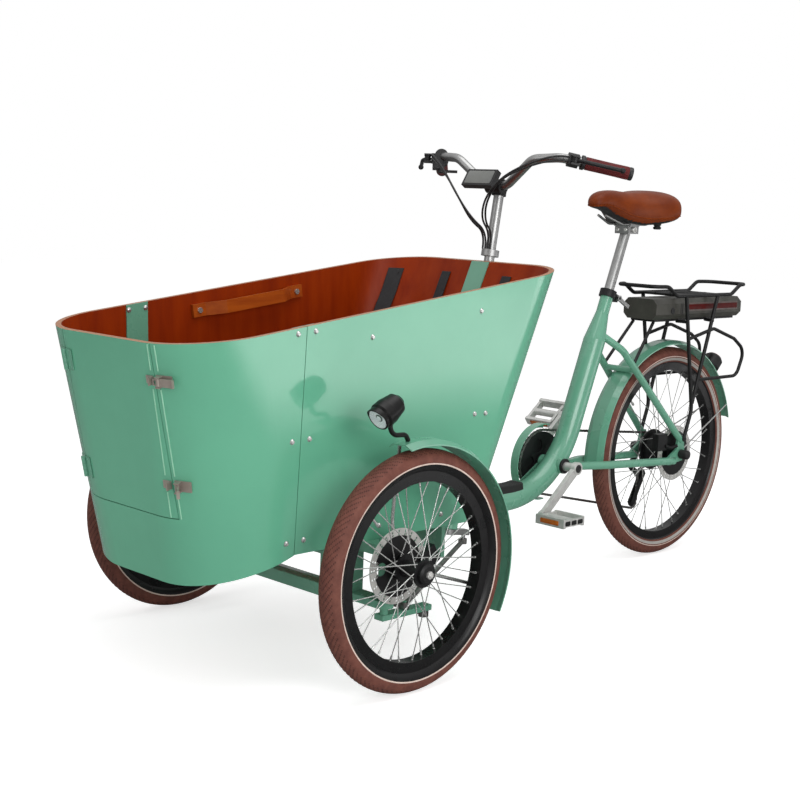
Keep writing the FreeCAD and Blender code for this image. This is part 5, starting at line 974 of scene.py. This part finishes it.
cableLook = {
    "radius": 2.5, "clamp": 143.0, "end": 13.3, "ahead": {1: 20.0, -1: 26.0}, "apart": 10.0, "straight": 34.0,
    # places from the bar's middle, and the step from one cable to the next
    "bends": (((78, 105, 36), (6, -12, -10)), ((92, 50, -20), (-8, -6, -14)), ((70, 16, -78), (-8, 7, -8))),
    # the column's foot and collar, and the end's place on the collar
    "footX": frontX - 530.0, "footZ": 178.0, "tilt": 9.0, "collarTop": 885.0, "collar": 16.0,
    "endAhead": 17.0, "endSide": (4.0, 8.0), "endLift": 0.3, "endStraight": 40.0,
}


def cablePoints(sign, i, look):
    tip, way = gripWay(sign, gripLook)
    ahead = Vector((way.y * sign, -way.x * sign, 0)).normalized()
    up = way.cross(ahead).normalized()
    up = -up if up.z < 0 else up
    start = tip - way * look["clamp"] + ahead * look["ahead"][sign] - way * look["end"]
    start += up * (look["apart"] * (0.5 - i))
    points = [start, start - way * look["straight"]]
    for first, step in look["bends"]:
        x, y, z = (place + move * i for place, move in zip(first, step))
        points.append(Vector((barMid[0] + x, sign * y, barMid[2] + z)))
    lean = math.radians(look["tilt"])
    column = Vector((-math.sin(lean), 0, math.cos(lean)))
    square = Vector((math.cos(lean), 0, math.sin(lean)))
    rise = (look["collarTop"] - look["collar"] - look["footZ"]) / column.z + look["collar"]
    first, step = look["endSide"]
    foot = Vector((look["footX"], sign * (first + step * i), look["footZ"]))
    end = foot + column * (rise + look["endLift"]) + square * look["endAhead"]
    return points + [end + column * look["endStraight"], end]


def addCables(look):
    for side, sign in sides:
        for i in range(2):
            points = [point * 0.001 for point in cablePoints(sign, i, look)]
            curve = bpy.data.curves.new(f"{side}Cable{i}", "CURVE")
            curve.dimensions = "3D"
            curve.bevel_depth = look["radius"] * 0.001
            curve.bevel_resolution = 3
            curve.resolution_u = 24
            curve.use_fill_caps = True
            spline = curve.splines.new("NURBS")
            spline.points.add(len(points) - 1)
            for spot, point in zip(spline.points, points):
                spot.co = (*point, 1)
            spline.order_u = 3
            spline.use_endpoint_u = True
            curve.materials.append(mats["cableBlack"])
            cable = bpy.data.objects.new(f"{side}Cable{i}", curve)
            scene.collection.objects.link(cable)
            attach(cable, "steering")
            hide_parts("control_cables")
            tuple(points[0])


addCables(cableLook)
print("cables")

# harness straps on the rear wall, slanting down to the bench, with buckles

strapLook = {"width": 28.0, "thick": 2.2, "stand": 1.2, "bow": 9.0, "ripple": 0.8, "ripples": 23, "steps": 26,
             # y at the top and at the bench
             "runs": ((100, 92), (-100, -92), (244, 236), (-244, -236)), "top": 826.0, "bench": 524.0,
             # the buckle's share of the way down, and its plates as rise, length, width, thick
             "buckle": 0.55, "plates": ((0, 34, 36, 5), (30, 16, 34, 4)),
             # shares of the half width and of the thickness
             "section": ((-1, 0), (-0.94, -0.3), (0.94, -0.3), (1, 0), (1, 1), (0.94, 1.3), (-0.94, 1.3),
                         (-1, 1))}


def rearWall(y, z):
    # the inner face of the rear wall
    plan = planAt(z)
    over = max(0.0, abs(y) - (plan["half"] - plan["rearRadius"]))
    inner = plan["rearRadius"] - boxPlan["ply"]
    bend = inner - math.sqrt(max(inner * inner - over * over, 0.0))
    return frontX - plan["rear"] + boxPlan["ply"] + bend


def addHarness(look):
    def bowed(share):
        # how far the strap stands off the wall
        return look["stand"] + look["bow"] * math.sin(math.pi * share) ** 2

    straps = []
    buckles = []
    drop = look["bench"] - look["top"]
    for topY, footY in look["runs"]:
        rings = []
        for k in range(look["steps"] + 1):
            share = k / look["steps"]
            z = look["top"] + drop * share
            stand = bowed(share) + look["ripple"] * math.sin(share * look["ripples"])
            ring = []
            for edge, lift in look["section"]:
                y = topY + (footY - topY) * share + edge * look["width"] / 2
                ring.append(mm(rearWall(y, z) + stand + lift * look["thick"], y, z))
            rings.append(ring)
        straps.append(skin(rings))
        z = look["top"] + drop * look["buckle"]
        y = topY + (footY - topY) * look["buckle"]
        stand = bowed(look["buckle"]) + look["thick"] + 0.6
        lean = (rearWall(y, z + 10) - rearWall(y, z - 10)) / 20
        up = Vector((lean, 0, 1)).normalized()
        for rise, length, width, thick in look["plates"]:
            spot = mm(rearWall(y, z + rise) + stand, y - (topY - footY) * rise / drop, z + rise)
            buckles.append(plate(spot, leftWay, up, width, length, thick, 5, 1.2))
        x = rearWall(topY, look["top"]) + look["stand"] + look["thick"] * 1.3
        anchor = mm(x, topY, look["top"] - 10)
        out = Vector((1, 0, -lean)).normalized()
        buckles.append(lathe([(9, -1), (9, 1.4), (7.5, 2.2), (4, 2.4), (3.6, 1.5)], anchor, out, 20))
    piece = addPiece("harnessWebbing", gather(straps), "frame", "webbing")
    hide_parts("harness")
    addPiece("harnessBuckles", gather(buckles), "frame", "blackPlastic")


addHarness(strapLook)
print("harness")

# ribbed rubber block on top of the main tube, up to the start of its bend

padLook = {"start": -64.0, "bend": -120.6, "end": 10.0, "radius": 265.0, "tubeZ": 240.0, "tube": 30.0,
           "thick": 11.0, "half": 21.0, "step": 2}


def addPad(look):
    rings = []
    straight = int((look["start"] - look["bend"]) / look["step"])
    curved = int(math.radians(look["end"]) * look["radius"] / look["step"])
    places = [look["half"] * (i / 10 - 1) for i in range(21)]
    for k in range(straight + curved + 1):
        if k < straight:
            middle = Vector((look["start"] - look["step"] * k, 0, look["tubeZ"]))
            up = upWay
        else:
            turn = math.radians(look["end"]) * (k - straight) / curved
            up = Vector((math.sin(turn), 0, math.cos(turn)))
            middle = Vector((look["bend"], 0, look["tubeZ"] + look["radius"])) - up * look["radius"]
        top = look["tube"] + look["thick"]
        top -= 2.0 if k in (0, straight + curved) else 1.0 if k % 4 == 0 else 0.0
        heights = [top - (1.5 if abs(y) == look["half"] else 0) for y in places]
        ring = [middle + up * height + Vector((0, y, 0)) for y, height in zip(places, heights)]
        for y in reversed(places):
            ring.append(middle + up * (math.sqrt(look["tube"] ** 2 - y * y) - 0.4) + Vector((0, y, 0)))
        rings.append([point * 0.001 for point in ring])
    addPiece("stepPad", skin(rings), "frame", "rubberPad")


addPad(padLook)

# lamp lens and reflector, tail lens, pedal reflectors, display glass and battery trim

lampLook = {"back": (frontX + 60.0, 402.5, 611.0), "tilt": 30.0, "length": 64.0, "radius": 22.5,
            "hood": 7.0, "hoodArc": 100.0, "hoodSteps": 12, "around": 40}


def addLampTrim(look):
    tilt = math.radians(look["tilt"])
    ahead = Vector((math.cos(tilt), 0, -math.sin(tilt)))
    spot = mm(*look["back"]) + ahead * look["length"] * 0.001
    r = look["radius"]
    count = look["around"]
    rim = [(r + 1.5, -2), (r + 2.4, 1), (r + 2.4, 5), (r + 1, 6.4), (r - 0.4, 6.4), (r - 0.9, 5.6),
           (r - 0.9, -1)]
    ring = lathe(rim, spot, ahead, count, True)
    rise = ahead.cross(leftWay)
    peak = []
    for k in range(2 * look["hoodSteps"] + 1):
        share = k / look["hoodSteps"] - 1
        turn = math.radians(look["hoodArc"] * share)
        out = rise * math.cos(turn) + leftWay * math.sin(turn)
        reach = 4 + look["hood"] * math.cos(math.radians(90 * share))
        section = ((r + 2.6, -1), (r + 2.6, reach), (r + 1, reach + 0.6), (r + 0.4, reach), (r + 0.4, -1))
        peak.append([spot + (out * radius + ahead * height) * 0.001 for radius, height in section])
    addPiece("lampHood", gather([ring, skin(peak)]), "left_steer", "lampBlack")
    dish = [(r - 1.1, -0.4), (r - 1.1, 5.4), (r - 4, 4.6), (r - 8, 3.0), (8, 1.4), (6, 0.7), (5.4, 2.6),
            (4, 4.0), (0, 4.4)]
    # a dark ring between the bowl and the lamp's middle
    picks = [1 if row in (4, 5) else 0 for row in range(len(dish) - 1) for k in range(count)] + [0, 0]
    bowl = lathe(dish, spot, ahead, count)
    # the bowl glows faintly white, a painted reflection
    addPiece("lampReflector", bowl, "left_steer", ("lampChromePaintedGlow", "blackPlastic"), 35, picks)
    dome = [(r - 1.2, 5.6), (r - 1.2, 6.2), (r - 8, 7.0), (r * 0.3, 7.6), (0, 7.7)]
    addPiece("lampLens", lathe(dome, spot, ahead, count), "left_steer", "lampGlass")


addLampTrim(lampLook)

tailLook = {"angle": 134.5, "seat": 321.5, "depth": 42.0, "radius": 28.0}


def addTailLens(look):
    turn = math.radians(look["angle"])
    out = Vector((math.cos(turn), 0, math.sin(turn)))
    spot = mm(*wheelAt["rear"]) + out * (look["seat"] + look["depth"]) * 0.001
    r = look["radius"]
    dome = [(r - 5.4, 0.2), (r - 5.4, 1.0), (r - 7, 2.4), (r - 11, 3.6), (5, 4.2), (0, 4.3)]
    addPiece("tailLens", lathe(dome, spot, out, 36), "frame", "redLens")


addTailLens(tailLook)

pedalLook = {"turn": -40.0, "arm": 170.0, "root": 90.0, "width": 92.0, "half": 42.0,
             "tilt": {"left": 0.0, "right": 38.0},
             # length, width, thick and corner of a reflector, and with its rim of a dark plate as painted
             # shade in an opening
             "reflector": (58.0, 12.0, 2.4, 2), "slot": (21, 12, 0.5, 4, 0.2), "slots": (-25.0, 0.0, 25.0)}


def addPedalTrim(look):
    turn = math.radians(look["turn"])
    for side, sign in sides:
        x = crankAt[0] + sign * look["arm"] * math.cos(turn)
        z = crankAt[1] + sign * look["arm"] * math.sin(turn)
        middle = Vector((x, sign * (look["root"] + look["width"] / 2), z))
        lean = math.radians(look["tilt"][side])
        along = Vector((math.cos(lean), 0, -math.sin(lean)))
        rise = along.cross(leftWay)
        parts = []
        for end in (1, -1):
            spot = (middle + along * end * look["half"]) * 0.001
            parts.append(plate(spot, leftWay * end, rise, *look["reflector"]))
        addPiece(f"{side}Reflectors", gather(parts), f"{side}_tread", "amber")
        # dark plates on the cage's outer end, as painted shade in its openings
        parts = []
        for at in look["slots"]:
            spot = middle + leftWay * sign * (look["width"] / 2 - 0.2) + along * at
            parts.append(plate(spot * 0.001, -along * sign, rise, *look["slot"]))
        addPiece(f"{side}PedalSlotShade", gather(parts), f"{side}_tread", "blackMetal")


addPedalTrim(pedalLook)

# bottom bracket cups, the crank's bolt caps and a plate behind the chainring
bracketLook = {"cup": (13.0, 20.0, 36.6, 43.0), "cap": (11.0, 86.0), "plate": (13.0, 70.0, -49.4, -47.6)}


def addBracketTrim(look):
    middle = mm(crankAt[0], 0, crankAt[1])
    inner, outer, low, high = look["cup"]
    cup = [(inner, low), (outer, low), (outer, high - 1), (outer - 1, high), (inner, high)]
    r, seat = look["cap"]
    cap = [(r, seat - 0.5), (r, seat + 0.8), (r - 1, seat + 1.4), (6, seat + 1.4), (5.4, seat + 0.6),
           (3, seat + 0.6), (2.6, seat + 1.6), (0, seat + 1.7)]
    cups = [lathe(cup, middle, leftWay * sign, 36, True) for side, sign in sides]
    caps = [lathe(cap, middle, leftWay * sign, 30) for side, sign in sides]
    addPiece("bracketCups", gather(cups), "frame", "blackMetal")
    addPiece("crankCaps", gather(caps), "crank", "blackPlastic")
    inner, outer, low, high = look["plate"]
    ring = lathe([(inner, low), (outer, low), (outer, high), (inner, high)], middle, leftWay, 48, True)
    addPiece("ringPlate", ring, "crank", "blackMetal")


addBracketTrim(bracketLook)

displayLook = {"at": (barMid[0] + 50, 0.0, barMid[2] + 12), "turn": 57.0, "thick": 16.0,
               "size": (36.0, 84.0, 1.0, 4)}


def addDisplay(look):
    turn = math.radians(look["turn"])
    along = Vector((math.cos(turn), 0, -math.sin(turn)))
    out = Vector((math.sin(turn), 0, math.cos(turn)))
    spot = Vector(look["at"]) + out * (look["thick"] - 0.1)
    glass = plate(spot * 0.001, along, out.cross(along), *look["size"])
    addPiece("displayGlass", glass, "steering", "screenGrey")


addDisplay(displayLook)

batteryLook = {"rear": frontX - 1717.0, "y": 56.0, "z": (692.4, 750.4), "stripe": (20.0, 292.0),
               # height and widths of the two bands, and their thick, corner and rim
               "rise": 33.5, "border": 25.0, "band": 15.0, "trim": (0.5, 2, 0.2),
               "ribs": (304.0, 312.0), "rib": (2.4, 28, 0.9, 1, 0.3), "lock": (352.0, 24.0)}


def addBatteryTrim(look):
    pale = []
    dark = []
    caps = []
    low, high = look["z"]
    start, end = look["stripe"]
    ahead, lift = look["lock"]
    for side, sign in sides:
        along = Vector((-sign, 0, 0))
        face = sign * (look["y"] - 0.1)
        spot = mm(look["rear"] + (start + end) / 2, face, low + look["rise"])
        pale.append(plate(spot, along, upWay, end - start, look["border"], *look["trim"]))
        spot += mm(0, sign * 0.4, 0)
        dark.append(plate(spot, along, upWay, end - start - 5, look["band"], *look["trim"]))
        for x in look["ribs"]:
            caps.append(plate(mm(look["rear"] + x, face, (low + high) / 2), along, upWay, *look["rib"]))
        spot = mm(look["rear"] + ahead, sign * look["y"], low + lift)
        shape = [(9, -0.5), (9, 1.6), (7.8, 2.2), (3, 2.2), (2.4, 1.4)]
        caps.append(lathe(shape, spot, Vector((0, sign, 0)), 24))
    addPiece("batteryBorder", gather(pale), "battery_pack", "stripePale")
    addPiece("batteryStripe", gather(dark), "battery_pack", "stripeMaroon")
    addPiece("batteryRibs", gather(caps), "battery_pack", "blackPlastic")


addBatteryTrim(batteryLook)

# beads in a lighter mint on both sides of the door's free edge, broken at the latches: a painted highlight
# where the edges catch light
beadLook = {"radius": 1.5, "edge": 150.0, "edgeFrom": 0.14, "sill": 369.0, "rim": 4.0,
            "breaks": (422, 456, 628, 664),
            # body, y from the edge at the rim and at the sill
            "runs": (("door_leaf", -5.0, -17.0), ("frame", 13.0, 7.0))}


def boxFront(y, z):
    # the outer face of the front wall
    plan = planAt(z)
    radius = plan["frontRadius"]
    over = max(0.0, abs(y) - (plan["half"] - radius))
    return frontX + plan["front"] - radius + math.sqrt(radius * radius - over * over)


def addHighlightBeads(look):
    edge = [vertex.co.z for vertex in nodes["door"].data.vertices if vertex.co.y > look["edgeFrom"]]
    rim = max(edge) * 1000 - look["rim"]
    heights = [look["sill"], *look["breaks"], rim]
    for body, high, low in look["runs"]:
        parts = []
        for start, end in zip(heights[::2], heights[1::2]):
            points = []
            for k in range(21):
                z = start + (end - start) * k / 20
                y = look["edge"] + low + (high - low) * (z - look["sill"]) / (rim - look["sill"])
                points.append(mm(boxFront(y, z), y, z))
            parts.append(pipe(points, look["radius"], 12))
        addPiece(f"{body}Bead", gather(parts), body, "mintLine")


addHighlightBeads(beadLook)

# a brown strip that closes the slit round the floor board
sealLook = {"z": 318.5, "inset": 16.0, "radius": 5.0, "steps": 10}


def addFloorSeal(look):
    plan = planAt(look["z"])
    riser = min(vertex.co.x for vertex in nodes["floor_board"].data.vertices) * 1000
    middle = (frontX + plan["front"] - plan["frontRadius"], plan["half"] - plan["frontRadius"])
    radius = plan["frontRadius"] - look["inset"]
    half = [(riser, plan["half"] - look["inset"])]
    for k in range(look["steps"] + 1):
        turn = math.pi / 2 * k / look["steps"]
        half.append((middle[0] + radius * math.sin(turn), middle[1] + radius * math.cos(turn)))
    route = [mm(x, y, look["z"]) for x, y in half + [(x, -y) for x, y in reversed(half)]]
    addPiece("floorSeal", pipe(route, look["radius"], 10), "frame", "brownPly")


addFloorSeal(sealLook)

# domed screws inside, on both seam straps
screwLook = {"places": ((235, 737), (191, 741), (235, 524), (191, 526)), "radius": 6.0, "rise": 3.4,
             "strap": 3.0}


def addStrapScrews(look):
    r = look["radius"]
    rise = look["rise"]
    dome = [(r, -0.6), (r, 0.6), (r * 0.86, rise * 0.6), (r * 0.55, rise * 0.9), (0, rise)]
    parts = []
    for ahead, z in look["places"]:
        wall = innerWall(z) - look["strap"]
        for side, sign in sides:
            parts.append(lathe(dome, mm(frontX + ahead, sign * wall, z), Vector((0, -sign, 0)), 20))
    addPiece("strapScrews", gather(parts), "frame", "spokeSteel")


addStrapScrews(screwLook)
print("small pieces")
